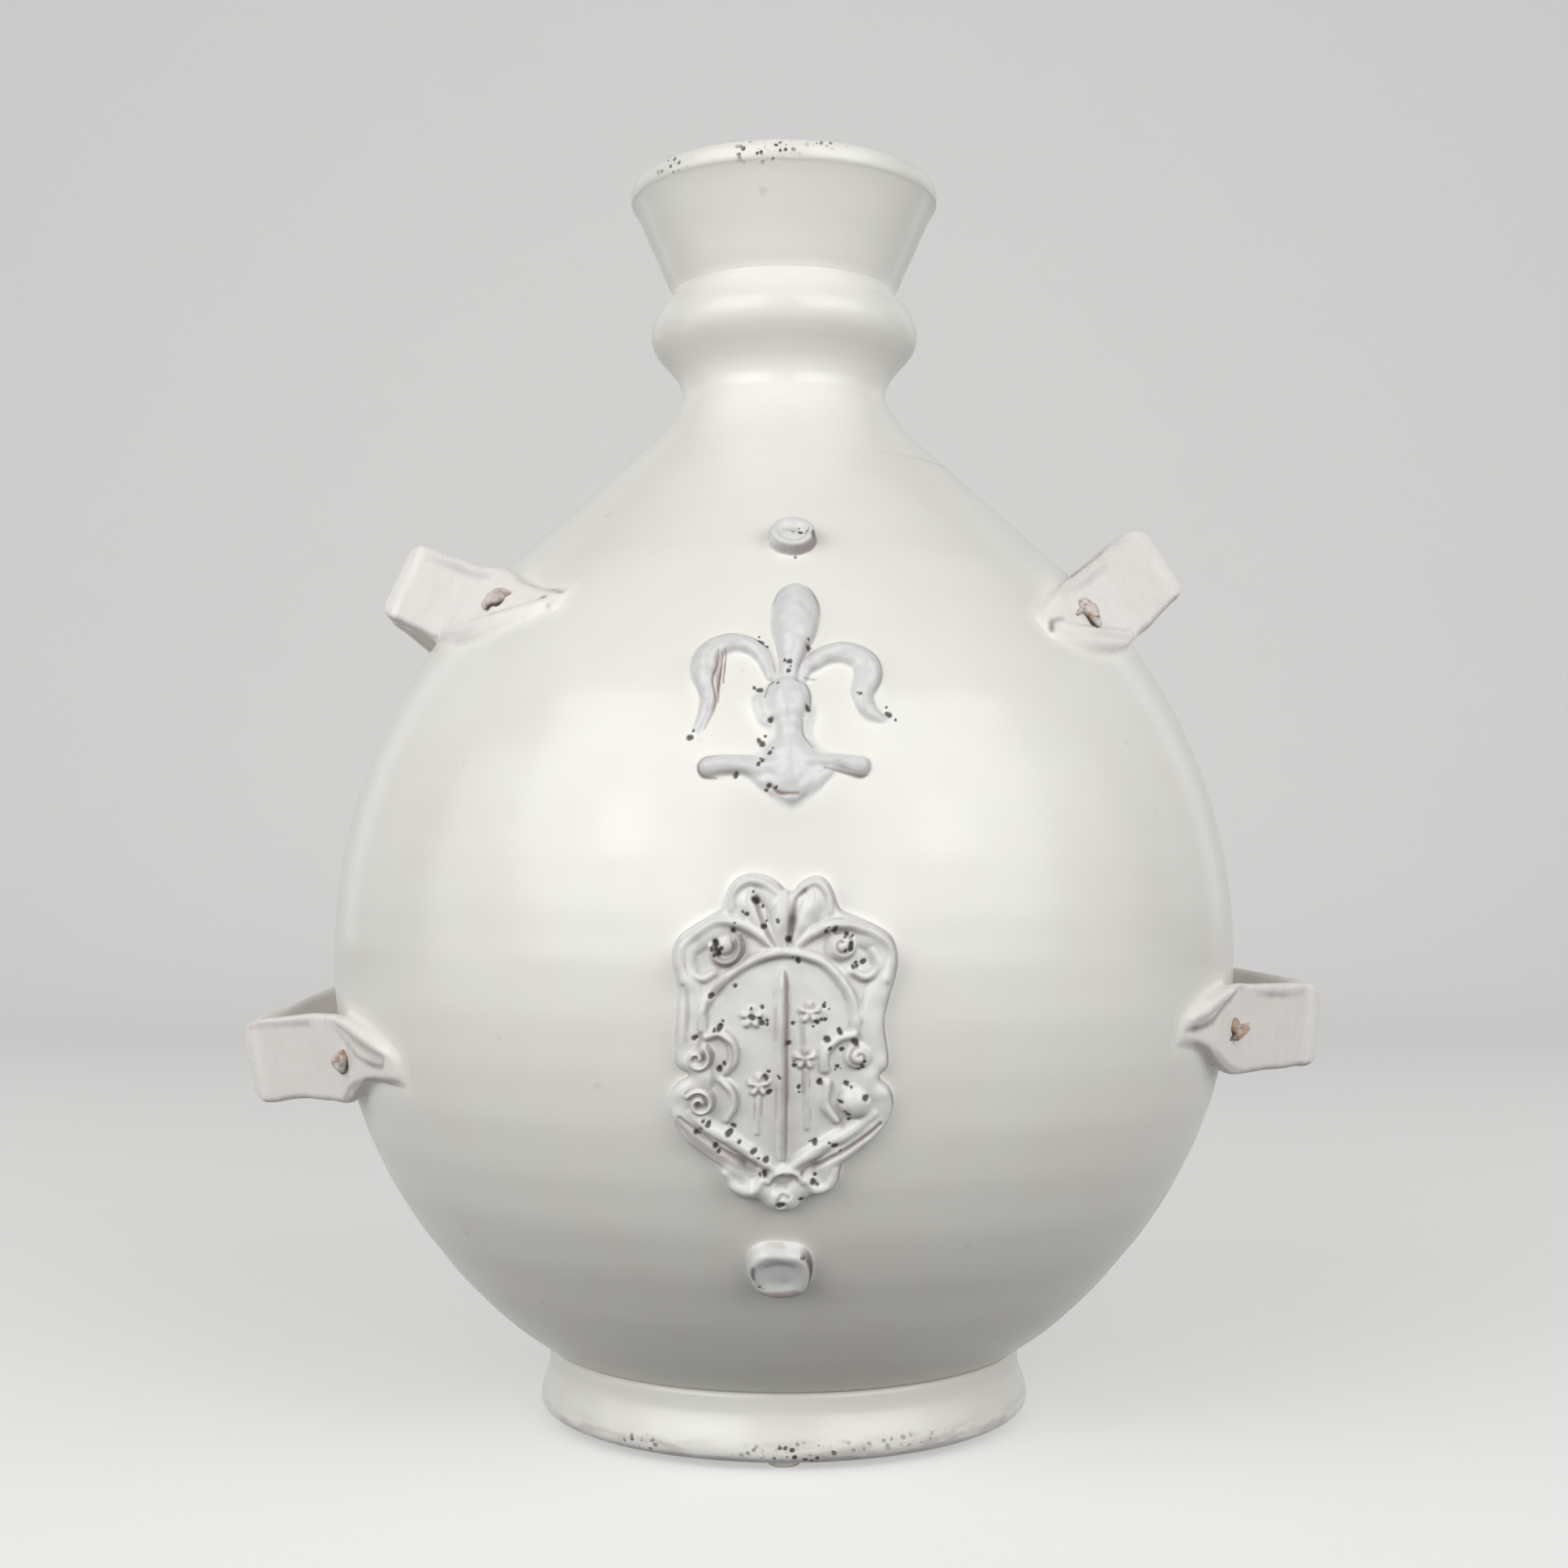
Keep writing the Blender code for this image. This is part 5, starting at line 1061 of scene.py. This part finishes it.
def wall_patch(footprint):
    """Closed patch of clay in and just over the wall round a strap's footprint."""
    latitude, azimuth, _ = wall_coordinates(footprint)
    step = WALL_STEP / BODY_RADIUS
    pad = (FILLET_REACH + 1.0) / BODY_RADIUS
    narrow = math.cos(np.abs(latitude).max())
    rows = np.arange(latitude.min() - pad, latitude.max() + pad, step)
    turns = np.arange(azimuth.min() - pad / narrow, azimuth.max() + pad / narrow, step / narrow)
    rows, turns = np.meshgrid(rows, turns, indexing="ij")
    top, back = (over_globe(rows, turns, np.full(rows.shape, rise)).reshape(-1, 3) for rise in (0.05, -2.0))
    gap = nearest(footprint, top)[1].reshape(rows.shape)
    faces, used = shell_faces(gap < FILLET_REACH)
    return np.vstack([top, back])[used], faces


def nearest(known, asked):
    """Index of the nearest known point for each asked one, and how far it is."""
    tree = KDTree(len(known))
    for index, point in enumerate(known.tolist()):
        tree.insert(point, index)
    tree.balance()
    found = [tree.find(point)[1:] for point in asked.tolist()]
    return np.array([hit[0] for hit in found]), np.array([hit[1] for hit in found])


def merged(shells, voxel):
    """One closed skin round several closed shells, as points and faces."""
    points, faces = [], []
    for part_points, part_faces in shells:
        offset = sum(len(part) for part in points)
        points.append(part_points)
        faces += [tuple(index + offset for index in face) for face in part_faces]
    mesh = bpy.data.meshes.new("shells")
    mesh.from_pydata((np.vstack(points) * MM).tolist(), [], faces)
    holder = bpy.data.objects.new("shells", mesh)
    bpy.context.scene.collection.objects.link(holder)
    remesh = holder.modifiers.new("skin", "REMESH")
    remesh.mode = "VOXEL"
    remesh.voxel_size = voxel * MM
    evaluated = holder.evaluated_get(bpy.context.evaluated_depsgraph_get())
    skin = evaluated.to_mesh()
    count = len(skin.vertices)
    place = np.empty(count * 3, np.float32)
    skin.vertices.foreach_get("co", place)
    made = [tuple(face.vertices) for face in skin.polygons]
    evaluated.to_mesh_clear()
    bpy.data.objects.remove(holder)
    bpy.data.meshes.remove(mesh)
    return place.reshape(-1, 3).astype(float) / MM, made


class Net:
    """Neighbours of every point of a mesh, for smoothing and for finding worn edges and hollows."""

    def __init__(self, faces, count):
        links = set()
        for face in faces:
            for a, b in zip(face, face[1:] + face[:1]):
                links.add((a, b) if a < b else (b, a))
        pairs = np.array(sorted(links))
        self.start = np.r_[pairs[:, 0], pairs[:, 1]]
        self.end = np.r_[pairs[:, 1], pairs[:, 0]]
        self.count = count
        self.degree = np.bincount(self.start, minlength=count)

    def mean(self, values):
        """Mean of each point's neighbours."""
        sums = [np.bincount(self.start, weights=column[self.end], minlength=self.count)
                for column in np.atleast_2d(values.T)]
        return (np.stack(sums, -1) / self.degree[:, None]).reshape(values.shape)

    def relaxed(self, points, weight, rounds):
        """Points drawn towards their neighbours by a weight each, again and again."""
        for _ in range(rounds):
            points = points + (self.mean(points) - points) * weight[:, None]
        return points


def normals_of(points, faces):
    """Unit normals of the points of a mesh."""
    corners = np.array([face[:3] for face in faces])
    a, b, c = (points[corners[:, k]] for k in range(3))
    flat = np.cross(b - a, c - a)
    total = np.zeros(points.shape)
    for face_corner in range(3):
        np.add.at(total, corners[:, face_corner], flat)
    return unit(total + 1e-12)


def luted(skin, net, gap):
    """A strap's skin with its joint melted and its ends laid on the wall, and how far it stood out of it."""
    rise = wall_coordinates(skin)[2]
    joint = smooth(1.0 - np.abs(rise - 0.8) / 2.6) * smooth((4.0 - gap) / 3.0) * (rise > 0.03)
    skin = net.relaxed(skin, np.full(len(skin), 0.5), SKIN_ROUNDS)
    skin = net.relaxed(skin, 0.55 * joint, JOINT_ROUNDS)
    latitude, azimuth, rise = wall_coordinates(skin)
    skirt = (rise > -0.4) & (rise < 0.35)
    flat = 0.05 + (rise - 0.05) * smooth((np.abs(rise - 0.05) - 0.03) / 0.2)
    sunk = flat - 0.022 * np.clip(gap - 2.2, 0.0, 10.0)
    laid = over_globe(latitude, azimuth, sunk)
    return np.where(skirt[:, None], laid, skin), rise


def strap_wear(fold, rise, gap, far, marks):
    """Marks of wear and painted shade of a strap, from its folds, its distance to the wall and the loft, and
    the loft's marks.
    """
    cut, roll, seam, drawn, holes = marks.T
    clay = smooth((rise - 0.25) / 1.2)
    rubbed = (fold - 0.08) / 0.3 + 0.4 * seam + 0.4 * np.clip(roll - 0.6, 0.0, 1.0)
    return {
        "tone": clay,
        "rub": np.clip(rubbed, 0.0, 1.0) * clay,
        "hollow": np.clip((-fold - 0.03) / 0.25, 0.0, 1.0) * clay,
        # Drawn dark lines; along the strap's lower border they are painted shade.
        "edge": drawn * smooth((1.6 - far) / 0.6),
        "crease": np.clip(cut - 0.25, 0.0, 1.0) * 0.35,
        "pit": holes * smooth((1.6 - far) / 0.6),
        "halo": 0.6 * smooth((6.0 - gap) / 4.0) * (1.0 - clay),
    }


def make_strap(name, node, loop, finish, seed):
    """Strap loop with its smeared ends, as one skin that runs out thinly over the wall."""
    points, faces, marks = strap_loft(loop, seed)
    near_wall = points[wall_coordinates(points)[2] < 1.2]
    front = near_wall[:, 1] < 0.0
    patches = [wall_patch(near_wall[half]) for half in (front, ~front)]
    skin, skin_faces = merged([(points, faces)] + patches, STRAP_VOXEL)
    net = Net(skin_faces, len(skin))
    gap = nearest(near_wall, skin)[1]
    skin, rise = luted(skin, net, gap)
    wide = net.relaxed(skin, np.full(len(skin), 0.7), FOLD_ROUNDS)
    fold = ((skin - wide) * normals_of(skin, skin_faces)).sum(1)
    index, far = nearest(points, skin)
    soft = marks[index]
    for _ in range(MARK_ROUNDS):
        soft = net.mean(soft)
    wear = strap_wear(fold, rise, gap, far, soft)
    add_piece(name, skin, skin_faces, finish, node, wear)


# Pegs: lumps as (along the strap, up, out of it) and half sizes, then a turn in degrees
PEGS = {
    "upper_left": (((3.0, -0.2, 0.8), (1.3, 3.4, 2.0), 8.0), ((-0.2, 2.8, 0.7), (4.4, 1.2, 1.7), 0.0),
                   ((0.4, 0.4, 0.0), (3.0, 2.8, 1.2), 0.0)),
    "upper_right": (((0.4, 0.2, 0.8), (2.5, 5.2, 2.6), -14.0), ((-3.4, 1.9, 0.2), (3.0, 0.8, 1.2), 8.0)),
    "lower_left": (((0.8, -0.2, 1.2), (3.6, 2.4, 2.2), 28.0), ((-1.8, 1.4, 1.0), (2.4, 2.6, 2.0), 0.0),
                   ((0.6, -2.4, 0.2), (3.6, 0.9, 1.2), -18.0)),
    "lower_right": (((1.8, -0.2, 0.8), (5.8, 1.4, 1.8), 24.0), ((-2.6, 1.8, 0.3), (3.0, 2.5, 1.3), 0.0),
                    ((-3.2, -2.0, 0.0), (2.4, 1.0, 0.9), 20.0)),
}
PEG_BARE = {"upper_left": 0.15, "upper_right": 0.1, "lower_left": 1.0, "lower_right": 0.8}
PEG_VOXEL = 0.3
PEG_STEPS = 24
PEG_MELTING = 6


def make_peg(name, node, line, share, lumps, bare, finish, seed):
    """Lump of bare clay pinched on the outer face of a strap."""
    row = int(np.argmax(line[:, 6] >= share))
    place = line[row, :3]
    forward = unit(line[row + 1, :3] - line[row - 1, :3])
    width = unit(line[row, 3:6] - forward * (line[row, 3:6] @ forward))
    out = np.cross(forward, width)
    out = out * np.sign(out @ (place * (1.0, 1.0, 0.0)))
    angle = np.linspace(0.0, 2.0 * math.pi, PEG_STEPS, endpoint=False)
    lift = np.radians(np.linspace(-80.0, 80.0, PEG_STEPS // 2))
    lift, angle = np.meshgrid(lift, angle, indexing="ij")
    shells = []
    for centre, size, turn in lumps:
        x, y = np.cos(lift) * np.cos(angle) * size[0], np.cos(lift) * np.sin(angle) * size[1]
        c, s = math.cos(math.radians(turn)), math.sin(math.radians(turn))
        x, y = x * c - y * s + centre[0], x * s + y * c + centre[1]
        z = size[2] * np.sin(lift) + centre[2] + 0.5 * STRAP_THICKNESS
        points = (place + x[..., None] * forward + y[..., None] * width + z[..., None] * out).reshape(-1, 3)
        shells.append((points, tube_faces(*lift.shape)))
    skin, faces = merged(shells, PEG_VOXEL)
    net = Net(faces, len(skin))
    skin = net.relaxed(skin, np.full(len(skin), 0.5), PEG_MELTING)
    bumps = 0.5 * noise_at(skin, 2.6, seed) + 0.22 * noise_at(skin, 1.1, seed + 1)
    skin = skin + normals_of(skin, faces) * bumps[:, None]
    height = (skin - place) @ out - 0.5 * STRAP_THICKNESS
    underside_shade = smooth(0.6 - (skin - place) @ width / 3.0)
    tan = smooth(noise_at(skin, 3.0, seed + 2) * 1.2 + 0.5)
    # The peg's hollow and crease marks are painted shade: darker low down and on its underside, darkest at
    # its foot underneath.
    wear = {
        "tone": smooth((height - 0.1) / 1.2),
        "rub": np.maximum(tan, 1.0 - bare),
        "hollow": smooth((1.1 - height) / 1.4) * (0.4 + 0.6 * underside_shade),
        "crease": smooth((1.4 - height) / 1.0) * underside_shade,
        "pit": smooth(noise_at(skin, 1.2, seed + 3) * 3.0 - 1.6),
        "halo": np.zeros(len(skin)),
    }
    add_piece(name, skin, faces, finish, node, wear)


def make_straps(finish, peg_finish):
    """Four strap loops, each with a peg on its front and on its back leg."""
    for number, (place, loop) in enumerate(LOOPS.items()):
        make_strap("strap_" + place, "loop_" + place, loop, finish, 100 + 10 * number)
        line = loop_line(loop)
        for end, ordered, seed in (("front", line, 200), ("back", line[::-1], 205)):
            make_peg("pinch_%s_%s" % (place, end), "peg_%s_%s" % (place, end), ordered,
                     loop["peg"], PEGS[place], PEG_BARE[place], peg_finish, seed + 10 * number)


# Pads: ring they lie on, then the profile of one from its top to its foot
PAD_RING = 67.25
PAD_AZIMUTHS = {"pad_front": 0.0, "pad_back_right": 120.0, "pad_back_left": -120.0}
PAD_LINE = ((3.9, 1.85), (4.4, 1.7), (4.7, 1.3), (4.8, 0.8), (4.7, 0.35), (4.4, 0.05), (4.1, 0.0))
PAD_STEPS = 48


def make_pads(finish):
    """Clear gel discs between the foot ring and the ground."""
    line = spline(PAD_LINE, 0.25)
    faces = [face[::-1] for face in tube_faces(len(line), PAD_STEPS)]
    angle = np.linspace(0.0, 2.0 * math.pi, PAD_STEPS, endpoint=False)
    for name, azimuth in PAD_AZIMUTHS.items():
        turn = math.radians(azimuth)
        x = PAD_RING * math.sin(turn) + line[:, :1] * np.cos(angle)
        y = -PAD_RING * math.cos(turn) + line[:, :1] * np.sin(angle)
        points = np.stack([x, y, np.repeat(line[:, 1:], PAD_STEPS, 1)], -1).reshape(-1, 3)
        add_piece("gel_" + name, points, faces, finish, name, sharp=WALL_SHARP)


class Finish:
    """Nodes of one procedural material, placed by the vase's own coordinates."""

    def __init__(self, name):
        self.material = bpy.data.materials.new(name)
        self.material.use_nodes = True
        self.tree = self.material.node_tree
        self.shader = self.tree.nodes["Principled BSDF"]
        self.place = self.tree.nodes.new("ShaderNodeTexCoord").outputs["Object"]

    def put(self, socket, value):
        """Links a socket to another, or gives it a value."""
        if isinstance(value, bpy.types.NodeSocket):
            self.tree.links.new(value, socket)
        else:
            socket.default_value = value

    def calc(self, operation, first, second=0.0, third=0.0):
        """One sum, held between 0 and 1."""
        node = self.tree.nodes.new("ShaderNodeMath")
        node.operation = operation
        node.use_clamp = True
        for socket, value in zip(node.inputs, (first, second, third)):
            self.put(socket, value)
        return node.outputs[0]

    def blend(self, share, first, second):
        """Colour between two."""
        node = self.tree.nodes.new("ShaderNodeMix")
        node.data_type = "RGBA"
        self.put(node.inputs[0], share)
        self.put(node.inputs[6], first)
        self.put(node.inputs[7], second)
        return node.outputs[2]

    def tinted(self, colour, where, share, tint):
        """Colour with up to a share of a tint over it, as much as a mark or pattern says."""
        return self.blend(self.calc("MULTIPLY", where, share), colour, tint)

    def mark(self, name):
        """Wear mark of the mesh."""
        node = self.tree.nodes.new("ShaderNodeAttribute")
        node.attribute_name = name
        return node.outputs["Fac"]

    def noise(self, size, detail=3.0, rough=0.55, stretch=(1.0, 1.0, 1.0)):
        """Noise with features of a size in millimetres."""
        mapping = self.tree.nodes.new("ShaderNodeMapping")
        self.put(mapping.inputs["Vector"], self.place)
        mapping.inputs["Scale"].default_value = stretch
        node = self.tree.nodes.new("ShaderNodeTexNoise")
        self.put(node.inputs["Vector"], mapping.outputs[0])
        node.inputs["Scale"].default_value = 1000.0 / size
        node.inputs["Detail"].default_value = detail
        node.inputs["Roughness"].default_value = rough
        return node.outputs["Fac"]

    def specks(self, size, share, ragged=0.45):
        """Ragged specks of a size in millimetres; the share is how much of their cell they fill."""
        node = self.tree.nodes.new("ShaderNodeTexVoronoi")
        self.put(node.inputs["Vector"], self.place)
        node.inputs["Scale"].default_value = 1000.0 / size
        uneven = self.calc("MULTIPLY_ADD", self.noise(0.6 * size, 2.0, 0.6), ragged, node.outputs["Distance"])
        middle = share + 0.5 * ragged
        return self.step(uneven, middle, middle - 0.08)

    def step(self, value, start, end):
        """0 where a value is at the start and 1 where it is at the end."""
        node = self.tree.nodes.new("ShaderNodeMapRange")
        node.interpolation_type = "SMOOTHSTEP"
        self.put(node.inputs["Value"], value)
        node.inputs["From Min"].default_value = min(start, end)
        node.inputs["From Max"].default_value = max(start, end)
        node.inputs["To Min"].default_value = 0.0 if start < end else 1.0
        node.inputs["To Max"].default_value = 1.0 if start < end else 0.0
        return node.outputs[0]

    def bump(self, *layers):
        """Bumps from heights, each with a depth in millimetres."""
        normal = None
        for height, depth in layers:
            node = self.tree.nodes.new("ShaderNodeBump")
            self.put(node.inputs["Height"], height)
            node.inputs["Distance"].default_value = depth * MM
            if normal is not None:
                self.put(node.inputs["Normal"], normal)
            normal = node.outputs[0]
        self.put(self.shader.inputs["Normal"], normal)


IVORY = srgb(228, 227, 221)
IVORY_WARM = srgb(225, 222, 214)
CREAM = srgb(240, 239, 232)
POOLED = srgb(229, 229, 225)
RUB_AND_SHADE_GREY = srgb(150, 139, 137)
EDGE_SHADE = srgb(122, 110, 112)
BROWN = srgb(120, 90, 74)
PIT = srgb(40, 32, 29)
STAIN = srgb(164, 136, 124)
TAN = srgb(190, 158, 124)
TAN_DARK = srgb(150, 116, 88)
THIN_GLAZE = srgb(208, 201, 198)
UNDERCUT_SHADE = srgb(112, 98, 92)
UNDERCUT_SHADOW = srgb(40, 32, 28)
CLAY_PIT = srgb(74, 58, 48)
GLAZE_ROUGHNESS = 0.19
GLAZE_IOR = 1.5
GEL_IOR = 1.41


def glaze(name, tone, worn, rub=0.6, streak=(1.0, 1.0, 1.0)):
    """Ivory glaze with a tone of its own on proud clay, white where it pools and thin where it is worn, with
    painted shade from the rub and edge marks.
    """
    made = Finish(name)
    drift = made.step(made.noise(38.0, 2.0), 0.35, 0.7)
    cloud = made.step(made.noise(6.0, 4.0), 0.4, 0.75)
    colour = made.tinted(IVORY, drift, 0.6, IVORY_WARM)
    colour = made.blend(made.mark("tone"), colour, made.tinted(tone, cloud, 0.6, worn))
    broken = made.calc("MULTIPLY", made.mark("line"), made.step(made.noise(8.0, 3.0), 0.42, 0.6))
    colour = made.tinted(colour, broken, 0.75, BROWN)
    colour = made.tinted(colour, made.mark("halo"), 0.75, CREAM)
    colour = made.tinted(colour, made.mark("hollow"), 0.6, POOLED)
    # Rubbed grey: partly thin worn glaze, partly painted shade on steep sides that face down and to the
    # right.
    patchy = made.calc("MULTIPLY", made.mark("rub"), made.step(made.noise(7.0, 4.0), 0.38, 0.62))
    colour = made.tinted(colour, patchy, rub, RUB_AND_SHADE_GREY)
    # Dark lines of the edge mark: painted shade, and on the lily's petals partly thin glaze.
    colour = made.tinted(colour, made.mark("edge"), 0.85, EDGE_SHADE)
    grains = made.step(made.noise(1.6, 5.0, 0.7), 0.52, 0.72)
    worn_wall = made.calc("MULTIPLY", made.mark("wear"),
                          made.step(made.noise(14.0, 4.0, 0.6, streak), 0.4, 0.66))
    colour = made.tinted(colour, worn_wall, 0.45, RUB_AND_SHADE_GREY)
    stained = made.calc("MULTIPLY", made.mark("speck"), grains)
    colour = made.tinted(colour, stained, 0.6, STAIN)
    pinholes = made.calc("MULTIPLY", made.mark("speck"), made.specks(2.3, 0.34))
    colour = made.tinted(colour, made.mark("crease"), 0.85, BROWN)
    dark = made.calc("MAXIMUM", made.mark("pit"), pinholes)
    colour = made.tinted(colour, dark, 0.9, PIT)
    iron = made.calc("MULTIPLY", made.specks(14.0, 0.1), made.step(made.noise(22.0), 0.5, 0.62))
    colour = made.tinted(colour, iron, 0.15, BROWN)
    made.put(made.shader.inputs["Base Color"], colour)
    rough = made.calc("MULTIPLY_ADD", made.noise(4.0, 3.0), 0.08, GLAZE_ROUGHNESS)
    rough = made.calc("MULTIPLY_ADD", patchy, 0.25, rough)
    made.put(made.shader.inputs["Roughness"], made.calc("MULTIPLY_ADD", dark, 0.4, rough))
    made.shader.inputs["IOR"].default_value = GLAZE_IOR
    made.bump((made.noise(7.0, 2.0), 0.08), (made.noise(1.1, 2.0), 0.012),
              (made.calc("SUBTRACT", 1.0, dark), 0.25))
    return made.material


def clay():
    """Bare tan clay with patches of glaze, and a dark undercut that is painted shade."""
    made = Finish("peg_clay_finish")
    mottle = made.step(made.noise(1.4, 4.0, 0.65), 0.35, 0.65)
    colour = made.blend(mottle, TAN, TAN_DARK)
    glazed = made.calc("MULTIPLY", made.mark("rub"), made.step(made.noise(2.4, 3.0), 0.25, 0.45))
    colour = made.tinted(colour, glazed, 0.9, THIN_GLAZE)
    # Painted shade low on the peg and under it, and a painted shadow line at its foot underneath.
    colour = made.tinted(colour, made.mark("hollow"), 0.6, UNDERCUT_SHADE)
    colour = made.tinted(colour, made.mark("crease"), 0.9, UNDERCUT_SHADOW)
    colour = made.tinted(colour, made.mark("pit"), 0.7, CLAY_PIT)
    made.put(made.shader.inputs["Base Color"], colour)
    made.put(made.shader.inputs["Roughness"], made.calc("MULTIPLY_ADD", glazed, -0.35, 0.62))
    made.bump((made.noise(0.9, 4.0, 0.7), 0.12), (made.noise(0.3, 2.0), 0.03))
    return made.material


def gel():
    """Clear soft gel, a little cloudy."""
    made = Finish("pad_gel_finish")
    colour = made.blend(made.noise(2.0, 3.0), srgb(240, 236, 218), srgb(228, 222, 200))
    made.put(made.shader.inputs["Base Color"], colour)
    made.put(made.shader.inputs["Roughness"], made.calc("MULTIPLY_ADD", made.noise(0.8), 0.15, 0.15))
    made.shader.inputs["Transmission Weight"].default_value = 0.25
    made.shader.inputs["IOR"].default_value = GEL_IOR
    made.bump((made.noise(0.7, 2.0), 0.02))
    return made.material


# Stage: a sheet that is the floor in front and curves up behind
SHEET_HALF = 2200.0
SHEET_BACK = 1500.0
SHEET_CURVE = 500.0
SHEET_TOP = 2400.0
CURVE_ROWS = 24
PAPER_GLOW = 0.45


def make_stage():
    """Plain pale floor that sweeps up into a backdrop."""
    angle = np.linspace(0.0, 0.5 * math.pi, CURVE_ROWS)
    run = np.r_[-SHEET_HALF, SHEET_BACK + SHEET_CURVE * np.sin(angle), SHEET_BACK + SHEET_CURVE]
    rise = np.r_[0.0, SHEET_CURVE * (1.0 - np.cos(angle)), SHEET_TOP]
    points = [(side * SHEET_HALF, y, z) for y, z in zip(run.tolist(), rise.tolist()) for side in (-1.0, 1.0)]
    faces = [(2 * row, 2 * row + 1, 2 * row + 3, 2 * row + 2) for row in range(len(run) - 1)]
    mesh = bpy.data.meshes.new("studio_sheet")
    mesh.from_pydata((np.array(points) * MM).tolist(), [], faces)
    mesh.shade_smooth()
    paper = Finish("studio_paper")
    rays = paper.tree.nodes.new("ShaderNodeLightPath").outputs
    seen = paper.calc("MAXIMUM", rays["Is Camera Ray"], rays["Is Glossy Ray"])
    seen = paper.calc("MAXIMUM", seen, rays["Is Transmission Ray"])
    pale = paper.blend(paper.noise(60.0), srgb(186, 185, 182), srgb(182, 181, 178))
    paper.put(paper.shader.inputs["Base Color"], paper.blend(seen, srgb(52, 52, 51), pale))
    paper.shader.inputs["Emission Color"].default_value = (1.0, 1.0, 1.0, 1.0)
    paper.put(paper.shader.inputs["Emission Strength"], paper.calc("MULTIPLY", seen, PAPER_GLOW))
    paper.shader.inputs["Roughness"].default_value = 0.8
    paper.shader.inputs["Specular IOR Level"].default_value = 0.2
    mesh.materials.append(paper.material)
    sheet = bpy.data.objects.new("studio_sheet", mesh)
    bpy.context.scene.collection.objects.link(sheet)


# Lights as place in metres, width, height and power, each aimed at the globe
LAMPS = {
    "softbox_left": ((-0.96, -1.08, 0.82), 1.40, 1.45, 17.9),
    "softbox_right": ((0.96, -1.08, 0.82), 1.40, 1.45, 16.4),
    "softbox_left_middle": ((-0.93, -1.13, 0.80), 0.30, 0.30, 0.95),
    "softbox_right_middle": ((0.93, -1.13, 0.80), 0.30, 0.30, 0.80),
    "front_fill": ((0.0, -2.50, 0.50), 2.60, 1.00, 4.4),
    "side_left": ((-1.55, -0.30, 0.55), 0.80, 1.10, 2.9),
    "side_right": ((1.55, -0.30, 0.55), 0.80, 1.10, 2.2),
    "back_left": ((-1.35, 0.90, 0.70), 1.00, 1.20, 1.8),
    "back_right": ((1.35, 0.90, 0.70), 1.00, 1.20, 1.8),
}
AIM = (0.0, 0.0, 0.18)
WORLD_STRENGTH = 0.05

# Camera of the photograph
CAMERA_PLACE = (0.0, -0.6785, 0.173)
CAMERA_PITCH = 2.36
CAMERA_LENS = 47.546
CAMERA_SENSOR = 36.0


def make_lights():
    """Soft lamps and an even world."""
    for name, (place, width, height, power) in LAMPS.items():
        data = bpy.data.lights.new(name, "AREA")
        data.shape = "RECTANGLE"
        data.size = width
        data.size_y = height
        data.energy = power
        lamp = bpy.data.objects.new(name, data)
        lamp.location = place
        lamp.rotation_euler = (Vector(AIM) - Vector(place)).to_track_quat("-Z", "Y").to_euler()
        bpy.context.scene.collection.objects.link(lamp)
    world = bpy.data.worlds.new("studio")
    world.use_nodes = True
    world.node_tree.nodes["Background"].inputs["Color"].default_value = (1.0, 1.0, 1.0, 1.0)
    world.node_tree.nodes["Background"].inputs["Strength"].default_value = WORLD_STRENGTH
    bpy.context.scene.world = world
    bpy.context.scene.view_settings.view_transform = "Standard"


def make_camera():
    """Camera at the photograph's place."""
    data = bpy.data.cameras.new("photo_camera")
    data.sensor_width = CAMERA_SENSOR
    data.lens = CAMERA_LENS
    camera = bpy.data.objects.new("photo_camera", data)
    camera.location = CAMERA_PLACE
    camera.rotation_euler = (math.radians(90.0 + CAMERA_PITCH), 0.0, 0.0)
    bpy.context.scene.collection.objects.link(camera)
    bpy.context.scene.camera = camera


def main():
    ivory = glaze("ivory_glaze_finish", IVORY, IVORY_WARM)
    foot = glaze("foot_glaze_finish", IVORY, IVORY_WARM, streak=(1.0, 1.0, 5.0))
    strap = glaze("strap_glaze_finish", srgb(238, 234, 229), srgb(230, 223, 218), rub=0.3)
    relief = glaze("relief_glaze_finish", srgb(214, 214, 213), srgb(205, 203, 203), rub=0.5)
    crest = glaze("crest_glaze_finish", srgb(225, 225, 223), srgb(213, 211, 210))
    sketches = [make_crest(crest)]
    sketches += [make_relief(*piece, relief) for piece in LILY]
    sketches += [make_button(*piece, relief) for piece in STUDS]
    make_walls(ivory, foot, sketches)
    make_straps(strap, clay())
    make_pads(gel())
    make_stage()
    make_lights()
    make_camera()


main()
bpy.context.view_layer.update()
